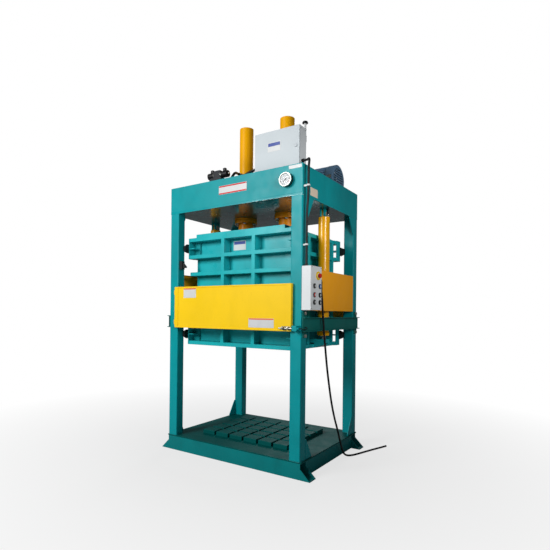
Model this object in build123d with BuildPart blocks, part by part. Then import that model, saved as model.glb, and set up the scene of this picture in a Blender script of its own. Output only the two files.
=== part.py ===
# Vertical lifting-chamber baler for waste paper, rags and film.
# A four-legged frame carries two main rams that press a platen down into a
# chamber, and two side cylinders that lower the chamber onto the base and
# raise it clear of the finished bale.
# Millimetres. X to the right, Y away from the loading side, Z up.
# The origin is the middle of the base, on the floor.

import os
from math import cos, radians, sin, tan

from build123d import *

# Press chamber
chamber_inner_x = 1110
chamber_inner_y = 810
wall_t = 15
wall_lap = 35
side_rib = 90
front_rib = 100
rib_h = 40
rib_skin = 6
rib_pitch = 191
rib_bays = 6
upright_w = 42
upright_x = 200
side_upright_y = 170
rim_h = 35
rim_t = 10
rim_reach = 575

# Corner guides of the chamber
guide_arm = 18
guide_plate_t = 12
guide_plate_y = 90
guide_fin_h = 12
shoe_h = 100
shoe_tip_h = 56
shoe_hook = 18
shoe_wrap = 25
shoe_gap = 0.3
leg_gap = 30

# Lift cylinders, one each side of the chamber
lift_tube_d = 120
lift_wall = 10
lift_rod_d = 60
lift_stroke = 1000
lift_gland = 148
lift_gap = 18
lift_head_room = 85
lift_eye_t = 24
lift_eye_y = 60
lift_eye_h = 75
lift_pin_d = 40
pin_head_d = 48
pin_head_t = 4
ear_t = 15
ear_y = 90
ear_over_tube = 10
lug_t = 40
lug_y = 120
lug_rise = 52
lug_reach = 45
lug_gusset_t = 12
rod_end_d = 40
rod_nut_af = 65
rod_nut_h = 35
rod_tail = 4

# Main rams and platen
ram_d = 160
ram_wall = 12
ram_pitch = 556
ram_cap = 25
rod_d = 100
piston_t = 50
end_gap = 6
press_stroke = 970
ring_d = 264
ring_t = 55
gland_d = 172
gland_len = 115
platen_gap_top = 110
platen_clear = 15
platen_depth = 480
platen_face_t = 30
platen_web_t = 15
platen_cap_t = 30
slot_w = 26
slot_depth = 18

# Frame
leg_x = 120
leg_y = 100
leg_wall = 8
leg_corner = 10
beam_h = 148
beam_w = 120
beam_wall = 8
toe_out = 103
toe_h = 100
side_beam_w = 80
deck_t = 12
deck_overhang = 12
landing_gap = 3
anchor_x = 700
anchor_d = 22
gusset_t = 10
gusset_y = 120
gusset_z = 190
gusset_toe = 15

# Blocks that the bale stands on, with strap slots between them
block_h = 45
block_cols = 6
block_rows = 5
block_clear = 5
block_chamfer = 4

# Crosshead
head_gap = 226
head_h = 290
head_plate = 12
floor_t = 20
web_t = 16
web_h = 220
web_gap = 26

# Side beams half way up the legs, on the outer faces
mid_z = 1353
mid_h = 131
mid_web = 7
mid_flange = 23
mid_flange_t = 8
mid_plate_t = 10
mid_plate_y = 70
mid_plate_h = 245
mid_bolt_dz = 105

# Bolts and general clearances
bolt_d = 20
bolt_head_af = 30
bolt_head_h = 13
bolt_clear = 0.5
bolt_grip = 15
ring_bolt_pcd = 230
ring_bolts = 6
ring_bolt_depth = 15
fit = 0.06
hole_clear = 0.5

# Sheet guards
guard_t = 3
guard_depth = 25
guard_gap = 15
guard_set = 2
side_guard_z = 1548
side_guard_h = 400
rear_guard_x = 760

# Loading gate
gate_z = 1355
gate_h = 442
gate_lap_left = 10
gate_lap_right = 32
gate_t = 3
gate_depth = 35
gate_gap = 5
gate_stile = 50
gate_strip = 14
gate_step = 4
gate_stiffener_w = 40
gate_stiffener_x = 250

# Gate hinges
hinge_pin_d = 12
hinge_barrel_d = 22
hinge_barrel_h = 50
hinge_end_h = 30
hinge_play = 0.5
hinge_inset = 60
hinge_off = 12
hinge_stand = 22
hinge_leaf_t = 6
hinge_leaf_x = 70
hinge_leaf_h = 140
hinge_web = 8

# Gate latch and its interlock block
latch_up = 28
latch_d = 16
latch_stand = 13
latch_len = 145
latch_gap = 4
loop_w = 14
loop_size = 26
loop_pitch = 58
loop_in = 17
knob_gap = 2
knob_d = 10
knob_out = 24
keeper_gap = 26
keeper_x = 50
keeper_z = 52
keeper_out = 17
keeper_pocket = 24
keeper_depth = 32
plunger_d = 24
plunger_len = 16

# Pump set in the crosshead
tank_x0 = -300
tank_x1 = 810
tank_y0 = 165
tank_y1 = 620
tank_h = 210
tank_wall = 5
filler_in = 105
motor_x1 = 765
motor_y = 285
motor_axis_h = 155
motor_d = 280
motor_fin = 10
motor_fins = 28
motor_len = 250
motor_flange_t = 16
motor_shaft_d = 38
cowl_d = 310
cowl_len = 85
cowl_t = 4
fan_d = 240
fan_t = 26
fan_hub_d = 80
fan_blades = 7
fan_blade_t = 6
rotor_gap = 6
foot_y = 200
foot_t = 16
bell_len = 110
bell_d = 200
pump_size = 120
pump_len = 150
pump_bore_clear = 3

# Valve block behind the front plate
valve_x = -280
valve_y = -500
valve_w = 160
valve_d = 120
valve_z = 2850
valve_h = 110
valve_stand_t = 16
valve_body_x = 90
valve_body_y = 70
valve_body_h = 84
coil_d = 72
coil_len = 85
coil_cap_d = 40
coil_cap_len = 12
hose_d = 28
hose_run = 84
hose_rise_run = 100
lift_line_d = 22
lift_line_bend = 33
lift_line_rise = 44
lift_line_in = 35
lift_port = 45
port_d = 44
port_reach = 18
port_rise = 210
port_plug_d = 66
pump_port_in = 100

# Electrical cabinet on the crosshead
cab_x0 = 268
cab_w = 505
cab_y0 = -600
cab_d = 132
cab_lift = 5
cab_h = 378
cab_t = 3
door_t = 17
door_gap = 0.5
lock_d = 18
lock_head_d = 26
lock_head_t = 7
lock_slot = 18
lock_slot_w = 3
lock_slot_depth = 2
lock_cam_len = 30
lock_cam_t = 4
lock_in = 36
cab_pin_d = 5
cab_barrel_d = 9
cab_barrel_h = 30
cab_end_h = 12
cab_hinge_off = 5
cab_hinge_in = 60
cab_hinge_web = 4
post_w = 40
post_in = 60
mast_x = 753
mast_y = -455
mast_d = 20
mast_h = 62
mast_grip = 120
mast_cap_d = 56
mast_cap_h = 22
mast_cap_round = 18

# Pressure gauge on the front plate
gauge_x = 675
gauge_z = 2762
gauge_d = 130
gauge_depth = 40
gauge_bezel = 7
gauge_recess = 8
spindle_d = 6
spindle_len = 6
needle_len = 44
needle_w = 5
needle_t = 1.5
needle_hub_d = 14

# Control box on the front right leg
box_y0 = -650
box_x = 95
box_y = 205
box_z = 1552
box_h = 403
box_t = 3
cover_t = 3
button_d = 36
button_bezel = 46
button_bezel_h = 5
button_out = 11
button_in = 18
button_rows = (1773, 1692, 1624)
button_cols = (-587, -479)
stop_y = -519
stop_z = 1870
stop_plate_d = 76
stop_plate_h = 8
stop_stem_d = 26
stop_head_d = 42
stop_head_h = 14
stop_out = 32

# Cables and their fittings
conduit_d = 22
conduit_y = -630
gland_nut_d = 34
gland_nut_h = 20
lead_d = 8
cord_d = 20
cord_bend = 0.45
cord_clear = 0.6
cord_in = 20
elbow_d = 28
elbow_x = 889
elbow_y = -364
elbow_z = 1846
elbow_drop = 40
elbow_bend = 18
clip_z = (2150, 2690)
clip_h = 16
clip_t = 5

# Switch that stops the chamber at the top
sensor_y = -612
sensor_z = 2040
sensor_w = 40
sensor_h = 90
sensor_reach = 45

# Worked-out positions
inner_x = chamber_inner_x / 2
inner_y = chamber_inner_y / 2
wall_x = inner_x + wall_t
wall_y = inner_y + wall_t
rib_x = wall_x + side_rib
rib_y = wall_y + front_rib
lift_x = rib_x + lift_gap + lift_tube_d / 2
guard_in_x = lift_x + lift_tube_d / 2 + guard_gap
half_w = guard_in_x + guard_depth + guard_set
leg_in_x = half_w - leg_x
leg_in_y = rib_y + leg_gap
half_d = leg_in_y + leg_y
deck_top = beam_h + deck_t
chamber_z = deck_top + landing_gap + lift_stroke
chamber_top = chamber_z + rib_h + rib_bays * rib_pitch + rim_h
head_z = chamber_top + head_gap
head_top = head_z + head_h
floor_top = head_z + floor_t
guide_x = rib_x + guide_arm
guide_face = guide_x + guide_plate_t
ring_z = head_z - ring_t
gland_z = ring_z - gland_len
ram_len = press_stroke + piston_t + 2 * end_gap
ram_top = head_z + ram_len + ram_cap
platen_top = gland_z - platen_gap_top
platen_z = platen_top - platen_depth
lift_tube_top = head_z - lift_head_room
lift_len = lift_stroke + piston_t + 2 * end_gap
lift_tube_z = lift_tube_top - lift_wall * 2 - lift_len - lift_gland
lug_z = chamber_z + lug_rise
lug_top = lug_z + lug_t
lift_pin_z = lift_tube_top + lift_eye_h - lift_pin_d
ear_x = lift_eye_t / 2 + 1
ear_z = lift_tube_top + ear_over_tube
mid_x = half_w + mid_plate_t
mid_mid_z = mid_z + mid_h / 2
gate_x0 = -(leg_in_x + gate_lap_left)
gate_x1 = leg_in_x + gate_lap_right
gate_back = -(half_d + gate_gap)
gate_front = gate_back - gate_depth
hinge_x = gate_x0 - hinge_off
hinge_y = -(half_d + hinge_stand)
hinge_levels = (gate_z + hinge_inset, gate_z + gate_h - hinge_inset)
latch_y = gate_front - latch_stand
latch_z = gate_z + latch_up
latch_tip = gate_x1 + keeper_gap - latch_gap
latch_tail = latch_tip - latch_len
keeper_x0 = gate_x1 + keeper_gap
tank_top = floor_top + tank_h
motor_z = tank_top + motor_axis_h
motor_body_x1 = motor_x1 - cowl_len
motor_x0 = motor_body_x1 - motor_len
bell_x0 = motor_x0 - motor_flange_t - bell_len
pump_x0 = bell_x0 - pump_len
cab_z = head_top + cab_lift
cab_top = cab_z + cab_h
cab_x1 = cab_x0 + cab_w
door_back = cab_y0 + door_t
cab_y1 = cab_y0 + cab_d
lock_x = cab_x1 - lock_in
lock_z = cab_z + cab_h / 2
cab_hinge_x = cab_x0 - cab_hinge_off
cab_hinge_levels = (cab_z + cab_hinge_in, cab_top - cab_hinge_in)
box_x1 = half_w + box_x
cover_x1 = box_x1 + cover_t
box_y1 = box_y0 + box_y
box_top = box_z + box_h
gauge_front = -(half_d + gauge_depth)
valve_top = valve_z + valve_h
web_y = ram_d / 2 + web_gap
line_z = floor_top + lift_line_rise
port_x = lift_x + lift_port
coil_z = valve_top + valve_body_h / 2

os.makedirs("parts", exist_ok=True)


def block(x, y, z, mode=Mode.ADD):
    """A square-edged block from its low and high X, Y and Z."""
    centre = ((x[0] + x[1]) / 2, (y[0] + y[1]) / 2, (z[0] + z[1]) / 2)
    with Locations(centre):
        Box(x[1] - x[0], y[1] - y[0], z[1] - z[0], mode=mode)


def fill_outline(plane, outline, thickness, mode):
    """A flat outline on a plane, given thickness along the plane's normal."""
    with BuildSketch(plane) as profile:
        with BuildLine():
            Polyline(*outline, close=True)
        make_face()
    extrude(profile.sketch, amount=thickness, mode=mode)


def prism_x(x, outline, mode=Mode.ADD):
    """A prism from low to high X, whose outline is given in Y and Z."""
    fill_outline(Plane.YZ.offset(x[0]), outline, x[1] - x[0], mode)


def prism_y(y, outline, mode=Mode.ADD):
    """A prism from low to high Y, whose outline is given in X and Z."""
    fill_outline(Plane.XZ.offset(-y[1]), outline, y[1] - y[0], mode)


def round_bar(plane, diameter, length, bore=0, mode=Mode.ADD):
    """A round bar, or a tube if it has a bore, along the plane's normal."""
    with BuildSketch(plane) as profile:
        Circle(diameter / 2)
        if bore:
            Circle(bore / 2, mode=Mode.SUBTRACT)
    extrude(profile.sketch, amount=length, mode=mode)


def hexagon_bar(plane, across_flats, length):
    """A hexagonal bar along the plane's normal, by its width across flats."""
    with BuildSketch(plane) as profile:
        RegularPolygon(across_flats / 2, 6, major_radius=False)
    extrude(profile.sketch, amount=length)


def facing_x(x, y, z, sign=1):
    """A plane whose normal points along X, or back along it."""
    return Plane(origin=(x, y, z), x_dir=(0, 1, 0), z_dir=(sign, 0, 0))


def facing_y(x, y, z, sign=1):
    """A plane whose normal points along Y, or back along it."""
    return Plane(origin=(x, y, z), x_dir=(1, 0, 0), z_dir=(0, sign, 0))


def level(x, y, z, sign=1):
    """A level plane whose normal points up, or down."""
    return Plane(origin=(x, y, z), x_dir=(1, 0, 0), z_dir=(0, 0, sign))


def span(centre, width):
    """Low and high ends of a width about its centre."""
    return (centre - width / 2, centre + width / 2)


def both(side, near, far):
    """Low and high X or Y of a slab on one side, by its distances out."""
    return (min(side * near, side * far), max(side * near, side * far))


def bend_radii(points):
    """Radius of the arc at each corner of a cord's route."""
    radii = []
    for before, corner, after in zip(points, points[1:], points[2:]):
        run_in = Vector(*corner) - Vector(*before)
        run_out = Vector(*after) - Vector(*corner)
        half_turn = radians(run_in.get_angle(run_out)) / 2
        radii.append(cord_bend * min(run_in.length, run_out.length) / tan(half_turn))
    return radii


# Base beams: two skids with open slanted toes, and two side beams between them
skid_in_y = half_d - beam_w
toe_x = half_w + toe_out
with BuildPart() as base_beams:
    for side in (-1, 1):
        prism_y(
            both(side, skid_in_y, half_d),
            [
                (-toe_x, 0),
                (toe_x, 0),
                (half_w, toe_h),
                (half_w, beam_h),
                (-half_w, beam_h),
                (-half_w, toe_h),
            ],
        )
        block(
            (-toe_x, toe_x),
            both(side, skid_in_y + beam_wall, half_d - beam_wall),
            (beam_wall, beam_h - beam_wall),
            Mode.SUBTRACT,
        )
        for anchor in (-anchor_x, anchor_x):
            anchor_spot = level(anchor, side * (half_d - beam_w / 2), 0)
            round_bar(anchor_spot, anchor_d, beam_wall, mode=Mode.SUBTRACT)
        block(both(side, half_w - side_beam_w, half_w), (-skid_in_y, skid_in_y), (0, beam_h))
        block(
            both(side, half_w - side_beam_w + beam_wall, half_w - beam_wall),
            (-skid_in_y, skid_in_y),
            (beam_wall, beam_h - beam_wall),
            Mode.SUBTRACT,
        )
base_beams.part.label = "base_beams"
export_step(base_beams.part, "parts/base_beams.step")

with BuildPart() as deck_plate:
    block((-half_w - deck_overhang, half_w + deck_overhang), (-half_d, half_d), (beam_h, deck_top))
deck_plate.part.label = "deck_plate"
export_step(deck_plate.part, "parts/deck_plate.step")

# Bale blocks, with straight slots both ways for the straps
grid_x = chamber_inner_x - 2 * block_clear
grid_y = chamber_inner_y - 2 * block_clear
block_x = (grid_x - (block_cols - 1) * slot_w) / block_cols
block_y = (grid_y - (block_rows - 1) * slot_w) / block_rows
with BuildPart() as bale_blocks:
    with BuildSketch(Plane.XY.offset(deck_top)):
        with GridLocations(block_x + slot_w, block_y + slot_w, block_cols, block_rows):
            Rectangle(block_x, block_y)
    extrude(amount=block_h)
    chamfer(bale_blocks.edges().group_by(Axis.Z)[-1], block_chamfer)
bale_blocks.part.label = "bale_blocks"
export_step(bale_blocks.part, "parts/bale_blocks.step")

# Legs, rectangular tubes with holes for the side beams' bolts
leg_mid_y = leg_in_y + leg_y / 2
leg_mid_x = leg_in_x + leg_x / 2
for end, end_sign in (("front", -1), ("rear", 1)):
    for hand, hand_sign in (("left", -1), ("right", 1)):
        with BuildPart() as leg:
            with BuildSketch(level(hand_sign * leg_mid_x, end_sign * leg_mid_y, deck_top)):
                RectangleRounded(leg_x, leg_y, leg_corner)
                Rectangle(leg_x - 2 * leg_wall, leg_y - 2 * leg_wall, mode=Mode.SUBTRACT)
            extrude(amount=head_z - deck_top)
            for dz in (-mid_bolt_dz, mid_bolt_dz):
                round_bar(
                    facing_x(hand_sign * half_w, end_sign * leg_mid_y, mid_mid_z + dz, -hand_sign),
                    bolt_d + 2 * bolt_clear,
                    leg_wall * 1.5,
                    mode=Mode.SUBTRACT,
                )
        leg.part.label = f"leg_{end}_{hand}"
        export_step(leg.part, f"parts/leg_{end}_{hand}.step")

# Triangular gussets at both ends of each leg, in line with the outer faces
with BuildPart() as corner_gussets:
    for hand in (-1, 1):
        for end in (-1, 1):
            for foot, up in ((deck_top, 1), (head_z, -1)):
                prism_x(
                    both(hand, half_w - gusset_t, half_w),
                    [
                        (end * leg_in_y, foot),
                        (end * (leg_in_y - gusset_y), foot),
                        (end * (leg_in_y - gusset_y), foot + up * gusset_toe),
                        (end * (leg_in_y - gusset_toe), foot + up * gusset_z),
                        (end * leg_in_y, foot + up * gusset_z),
                    ],
                )
corner_gussets.part.label = "corner_gussets"
export_step(corner_gussets.part, "parts/corner_gussets.step")

# Crosshead: floor plate, four walls and two webs that carry the main rams
ram_spots = (-ram_pitch / 2, ram_pitch / 2)
ring_bolt_hole = bolt_d + bolt_clear
with BuildPart() as crosshead_floor:
    block((-half_w, half_w), (-half_d, half_d), (head_z, floor_top))
    for ram_x in ram_spots:
        round_bar(level(ram_x, 0, head_z), ram_d + 2 * hole_clear, floor_t, mode=Mode.SUBTRACT)
        with BuildSketch(Plane.XY.offset(head_z)):
            with Locations((ram_x, 0)):
                with PolarLocations(ring_bolt_pcd / 2, ring_bolts):
                    Circle(ring_bolt_hole / 2)
        extrude(amount=ring_bolt_depth + bolt_clear, mode=Mode.SUBTRACT)
    for side in (-1, 1):
        line_spot = level(side * port_x, 0, head_z)
        round_bar(line_spot, lift_line_d + 2 * hole_clear, floor_t, mode=Mode.SUBTRACT)
crosshead_floor.part.label = "crosshead_floor"
export_step(crosshead_floor.part, "parts/crosshead_floor.step")

with BuildPart() as crosshead_walls:
    for side in (-1, 1):
        block((-half_w, half_w), both(side, half_d - head_plate, half_d), (floor_top, head_top))
        block(
            both(side, half_w - head_plate, half_w),
            (-half_d + head_plate, half_d - head_plate),
            (floor_top, head_top),
        )
crosshead_walls.part.label = "crosshead_walls"
export_step(crosshead_walls.part, "parts/crosshead_walls.step")

with BuildPart() as crosshead_webs:
    for side in (-1, 1):
        block(
            (-half_w + head_plate, half_w - head_plate),
            both(side, web_y, web_y + web_t),
            (floor_top, floor_top + web_h),
        )
        for port in (-port_x, port_x):
            round_bar(
                facing_y(port, side * web_y, line_z, side),
                lift_line_d + 2 * hole_clear,
                web_t,
                mode=Mode.SUBTRACT,
            )
crosshead_webs.part.label = "crosshead_webs"
export_step(crosshead_webs.part, "parts/crosshead_webs.step")

# Side beams: channels with their flanges outward, on plates bolted to the legs
with BuildPart() as mid_beams:
    for side in (-1, 1):
        block(both(side, mid_x, mid_x + mid_web), (-half_d, half_d), (mid_z, mid_z + mid_h))
        for flange_z in (mid_z, mid_z + mid_h - mid_flange_t):
            block(
                both(side, mid_x, mid_x + mid_web + mid_flange),
                (-half_d, half_d),
                (flange_z, flange_z + mid_flange_t),
            )
        for end in (-1, 1):
            block(
                both(side, half_w, mid_x),
                span(end * leg_mid_y, mid_plate_y),
                span(mid_mid_z, mid_plate_h),
            )
            for dz in (-mid_bolt_dz, mid_bolt_dz):
                round_bar(
                    facing_x(side * half_w, end * leg_mid_y, mid_mid_z + dz, side),
                    bolt_d + 2 * bolt_clear,
                    mid_plate_t,
                    mode=Mode.SUBTRACT,
                )
mid_beams.part.label = "mid_beams"
export_step(mid_beams.part, "parts/mid_beams.step")

# Hexagon bolts, all one size: side beams to legs, and ram rings to the crosshead
with BuildPart() as hex_bolts:
    for side in (-1, 1):
        for end in (-1, 1):
            for dz in (-mid_bolt_dz, mid_bolt_dz):
                spot = (side * mid_x, end * leg_mid_y, mid_mid_z + dz)
                hexagon_bar(facing_x(*spot, side), bolt_head_af, bolt_head_h)
                round_bar(facing_x(*spot, -side), bolt_d, mid_plate_t + leg_wall + bolt_grip)
    for ram_x in ram_spots:
        for turn in range(ring_bolts):
            angle = radians(turn * 360 / ring_bolts)
            bolt_x = ram_x + ring_bolt_pcd / 2 * cos(angle)
            bolt_y = ring_bolt_pcd / 2 * sin(angle)
            hexagon_bar(level(bolt_x, bolt_y, ring_z, -1), bolt_head_af, bolt_head_h)
            round_bar(level(bolt_x, bolt_y, ring_z), bolt_d, ring_t + ring_bolt_depth)
hex_bolts.part.label = "hex_bolts"
export_step(hex_bolts.part, "parts/hex_bolts.step")

# Main rams: tubes closed at the top, and glands with a bolted ring under the floor
with BuildPart() as ram_tubes:
    for ram_x in ram_spots:
        round_bar(level(ram_x, 0, head_z), ram_d, ram_top - head_z)
        round_bar(level(ram_x, 0, head_z), ram_d - 2 * ram_wall, ram_len, mode=Mode.SUBTRACT)
        round_bar(
            facing_y(ram_x, -ram_d / 2 + ram_wall / 2, head_top + port_rise, -1),
            port_d,
            ram_wall / 2 + port_reach,
        )
ram_tubes.part.label = "ram_tubes"
export_step(ram_tubes.part, "parts/ram_tubes.step")

with BuildPart() as ram_glands:
    for ram_x in ram_spots:
        round_bar(level(ram_x, 0, ring_z), ring_d, ring_t)
        round_bar(level(ram_x, 0, gland_z), gland_d, gland_len)
        round_bar(level(ram_x, 0, gland_z), rod_d + 2 * fit, gland_len + ring_t, mode=Mode.SUBTRACT)
        with BuildSketch(Plane.XY.offset(ring_z)):
            with Locations((ram_x, 0)):
                with PolarLocations(ring_bolt_pcd / 2, ring_bolts):
                    Circle(ring_bolt_hole / 2)
        extrude(amount=ring_t, mode=Mode.SUBTRACT)
ram_glands.part.label = "ram_glands"
export_step(ram_glands.part, "parts/ram_glands.step")

# Rods of the main rams, with their pistons
ram_bore = ram_d - 2 * ram_wall
with BuildPart() as ram_rods:
    for ram_x in ram_spots:
        round_bar(level(ram_x, 0, platen_top), rod_d, head_z + ram_len - end_gap - platen_top)
        round_bar(
            level(ram_x, 0, head_z + ram_len - end_gap - piston_t), ram_bore - 2 * fit, piston_t
        )
ram_rods.part.label = "ram_rods"
export_step(ram_rods.part, "parts/ram_rods.step")

# Platen: grooved face, webs both ways and a pad under each rod
platen_x = inner_x - platen_clear
platen_y = inner_y - platen_clear
with BuildPart() as platen:
    block((-platen_x, platen_x), (-platen_y, platen_y), (platen_z, platen_z + platen_face_t))
    for column in range(1, block_cols):
        groove_x = (column - block_cols / 2) * (block_x + slot_w)
        block(
            span(groove_x, slot_w),
            (-platen_y, platen_y),
            (platen_z, platen_z + slot_depth),
            Mode.SUBTRACT,
        )
    for side in (-1, 1):
        block(
            (-platen_x, platen_x),
            both(side, platen_y - platen_web_t, platen_y),
            (platen_z + platen_face_t, platen_top - platen_cap_t),
        )
        block(
            both(side, platen_x - platen_web_t, platen_x),
            (-platen_y, platen_y),
            (platen_z + platen_face_t, platen_top - platen_cap_t),
        )
    for ram_x in ram_spots:
        for side in (-1, 1):
            block(
                span(ram_x + side * rod_d / 2, platen_web_t),
                (-platen_y, platen_y),
                (platen_z + platen_face_t, platen_top - platen_cap_t),
            )
        block(
            span(ram_x, rod_d * 2),
            (-platen_y, platen_y),
            (platen_top - platen_cap_t, platen_top),
        )
    block(
        (-platen_x, platen_x),
        span(0, platen_web_t),
        (platen_z + platen_face_t, platen_top - platen_cap_t),
    )
platen.part.label = "platen"
export_step(platen.part, "parts/platen.step")

# Lift cylinders: tube with a bored foot, an eye at the top, and the rod inside
lift_bore = lift_tube_d - 2 * lift_wall
with BuildPart() as lift_tubes:
    for side in (-1, 1):
        round_bar(level(side * lift_x, 0, lift_tube_z), lift_tube_d, lift_tube_top - lift_tube_z)
        round_bar(
            level(side * lift_x, 0, lift_tube_z), lift_rod_d + 2 * fit, lift_gland, mode=Mode.SUBTRACT
        )
        round_bar(
            level(side * lift_x, 0, lift_tube_z + lift_gland), lift_bore, lift_len, mode=Mode.SUBTRACT
        )
        block(
            span(side * lift_x, lift_eye_t),
            span(0, lift_eye_y),
            (lift_tube_top, lift_tube_top + lift_eye_h),
        )
        round_bar(
            facing_x(side * lift_x - lift_eye_t / 2, 0, lift_pin_z),
            lift_pin_d + 2 * fit,
            lift_eye_t,
            mode=Mode.SUBTRACT,
        )
lift_tubes.part.label = "lift_tubes"
export_step(lift_tubes.part, "parts/lift_tubes.step")

with BuildPart() as lift_brackets:
    for side in (-1, 1):
        for cheek in (-1, 1):
            cheek_x = side * lift_x + cheek * (ear_x + ear_t / 2)
            block(span(cheek_x, ear_t), span(0, ear_y), (ear_z, head_z))
            round_bar(
                facing_x(cheek_x - ear_t / 2, 0, lift_pin_z),
                lift_pin_d + 2 * fit,
                ear_t,
                mode=Mode.SUBTRACT,
            )
lift_brackets.part.label = "lift_brackets"
export_step(lift_brackets.part, "parts/lift_brackets.step")

pin_reach = ear_x + ear_t
with BuildPart() as lift_pins:
    for side in (-1, 1):
        round_bar(
            facing_x(side * lift_x - pin_reach, 0, lift_pin_z), lift_pin_d, 2 * pin_reach
        )
        for end in (-1, 1):
            round_bar(
                facing_x(side * lift_x + end * pin_reach, 0, lift_pin_z, end),
                pin_head_d,
                pin_head_t,
            )
lift_pins.part.label = "lift_pins"
export_step(lift_pins.part, "parts/lift_pins.step")

lift_piston_top = lift_tube_z + lift_gland + lift_len - end_gap
with BuildPart() as lift_rods:
    for side in (-1, 1):
        round_bar(level(side * lift_x, 0, lug_top), lift_rod_d, lift_piston_top - lug_top)
        round_bar(
            level(side * lift_x, 0, lift_piston_top - piston_t), lift_bore - 2 * fit, piston_t
        )
        round_bar(
            level(side * lift_x, 0, lug_z - rod_nut_h - rod_tail),
            rod_end_d,
            lug_t + rod_nut_h + rod_tail,
        )
        hexagon_bar(level(side * lift_x, 0, lug_z - rod_nut_h), rod_nut_af, rod_nut_h)
lift_rods.part.label = "lift_rods"
export_step(lift_rods.part, "parts/lift_rods.step")

# Chamber panels: a plate with hollow ribs on the outside
rib_levels = [chamber_z + bay * rib_pitch for bay in range(rib_bays + 1)]
guide_levels = (rib_levels[0], rib_levels[-2])
ribs_top = rib_levels[-1] + rib_h
for end, sign in (("front", -1), ("rear", 1)):
    with BuildPart() as panel:
        block(
            (-wall_x - wall_lap, wall_x + wall_lap),
            both(sign, inner_y, wall_y),
            (chamber_z, chamber_top),
        )
        for upright in (-upright_x, upright_x):
            block(span(upright, upright_w), both(sign, wall_y, rib_y), (chamber_z, ribs_top))
        for bay, rib_z in enumerate(rib_levels):
            is_guide = bay in (0, 1, rib_bays - 1, rib_bays)
            reach = guide_x if is_guide else rib_x
            block((-reach, reach), both(sign, inner_y, rib_y), (rib_z, rib_z + rib_h))
            block(
                (-reach + rib_skin, reach - rib_skin),
                both(sign, wall_y, rib_y - rib_skin),
                (rib_z + rib_skin, rib_z + rib_h - rib_skin),
                Mode.SUBTRACT,
            )
        block((-rim_reach, rim_reach), both(sign, rib_y - rim_t, rib_y), (ribs_top, chamber_top))
        block((-rim_reach, rim_reach), both(sign, wall_y, rib_y), (chamber_top - rim_t, chamber_top))
        for guide_z in guide_levels:
            for hand in (-1, 1):
                block(
                    both(hand, guide_x, guide_face),
                    both(sign, rib_y - guide_plate_y, rib_y),
                    (guide_z, guide_z + rib_pitch + rib_h),
                )
                block(
                    both(hand, wall_x + wall_lap, guide_x),
                    both(sign, rib_y - guide_plate_y, rib_y),
                    span(guide_z + (rib_pitch + rib_h) / 2, guide_fin_h),
                )
    panel.part.label = f"chamber_{end}_panel"
    export_step(panel.part, f"parts/chamber_{end}_panel.step")

for hand, sign in (("left", -1), ("right", 1)):
    with BuildPart() as panel:
        block(both(sign, inner_x, wall_x), (-inner_y, inner_y), (chamber_z, chamber_top))
        for rib_z in rib_levels:
            block(both(sign, wall_x, rib_x), (-inner_y, inner_y), (rib_z, rib_z + rib_h))
            block(
                both(sign, wall_x, rib_x - rib_skin),
                (-inner_y + rib_skin, inner_y - rib_skin),
                (rib_z + rib_skin, rib_z + rib_h - rib_skin),
                Mode.SUBTRACT,
            )
        corner_y = inner_y - upright_w / 2
        for upright in (-corner_y, -side_upright_y, side_upright_y, corner_y):
            block(both(sign, wall_x, rib_x), span(upright, upright_w), (chamber_z, ribs_top))
        block(both(sign, wall_x, lift_x + lug_reach), span(0, lug_y), (lug_z, lug_top))
        for cheek in (-1, 1):
            cheek_y = cheek * (lug_y - lug_gusset_t) / 2
            prism_y(
                span(cheek_y, lug_gusset_t),
                [
                    (sign * rib_x, chamber_z),
                    (sign * (lift_x + lug_reach), lug_z - lug_gusset_t),
                    (sign * (lift_x + lug_reach), lug_z),
                    (sign * rib_x, lug_z),
                ],
            )
        lug_spot = level(sign * lift_x, 0, lug_z)
        round_bar(lug_spot, rod_end_d + 2 * hole_clear, lug_t, mode=Mode.SUBTRACT)
    panel.part.label = f"chamber_{hand}_panel"
    export_step(panel.part, f"parts/chamber_{hand}_panel.step")

# Guide shoes: plastic blocks that run in the inner corners of the legs
shoe_face_x = leg_in_x - shoe_gap
shoe_face_y = leg_in_y - shoe_gap
with BuildPart() as guide_shoes:
    for guide_z in guide_levels:
        shoe_mid = guide_z + (rib_pitch + rib_h) / 2
        for hand in (-1, 1):
            for end in (-1, 1):
                prism_y(
                    both(end, rib_y - shoe_hook, shoe_face_y),
                    [
                        (hand * guide_face, shoe_mid - shoe_h / 2),
                        (hand * shoe_face_x, shoe_mid - shoe_tip_h / 2 - shoe_hook / 2),
                        (hand * (shoe_face_x + shoe_hook), shoe_mid - shoe_tip_h / 2),
                        (hand * (shoe_face_x + shoe_hook), shoe_mid + shoe_tip_h / 2),
                        (hand * shoe_face_x, shoe_mid + shoe_tip_h / 2 + shoe_hook / 2),
                        (hand * guide_face, shoe_mid + shoe_h / 2),
                    ],
                )
                block(
                    both(hand, guide_face, shoe_face_x),
                    both(end, rib_y - shoe_hook, shoe_face_y + shoe_wrap),
                    span(shoe_mid, shoe_tip_h),
                )
guide_shoes.part.label = "guide_shoes"
export_step(guide_shoes.part, "parts/guide_shoes.step")

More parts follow.
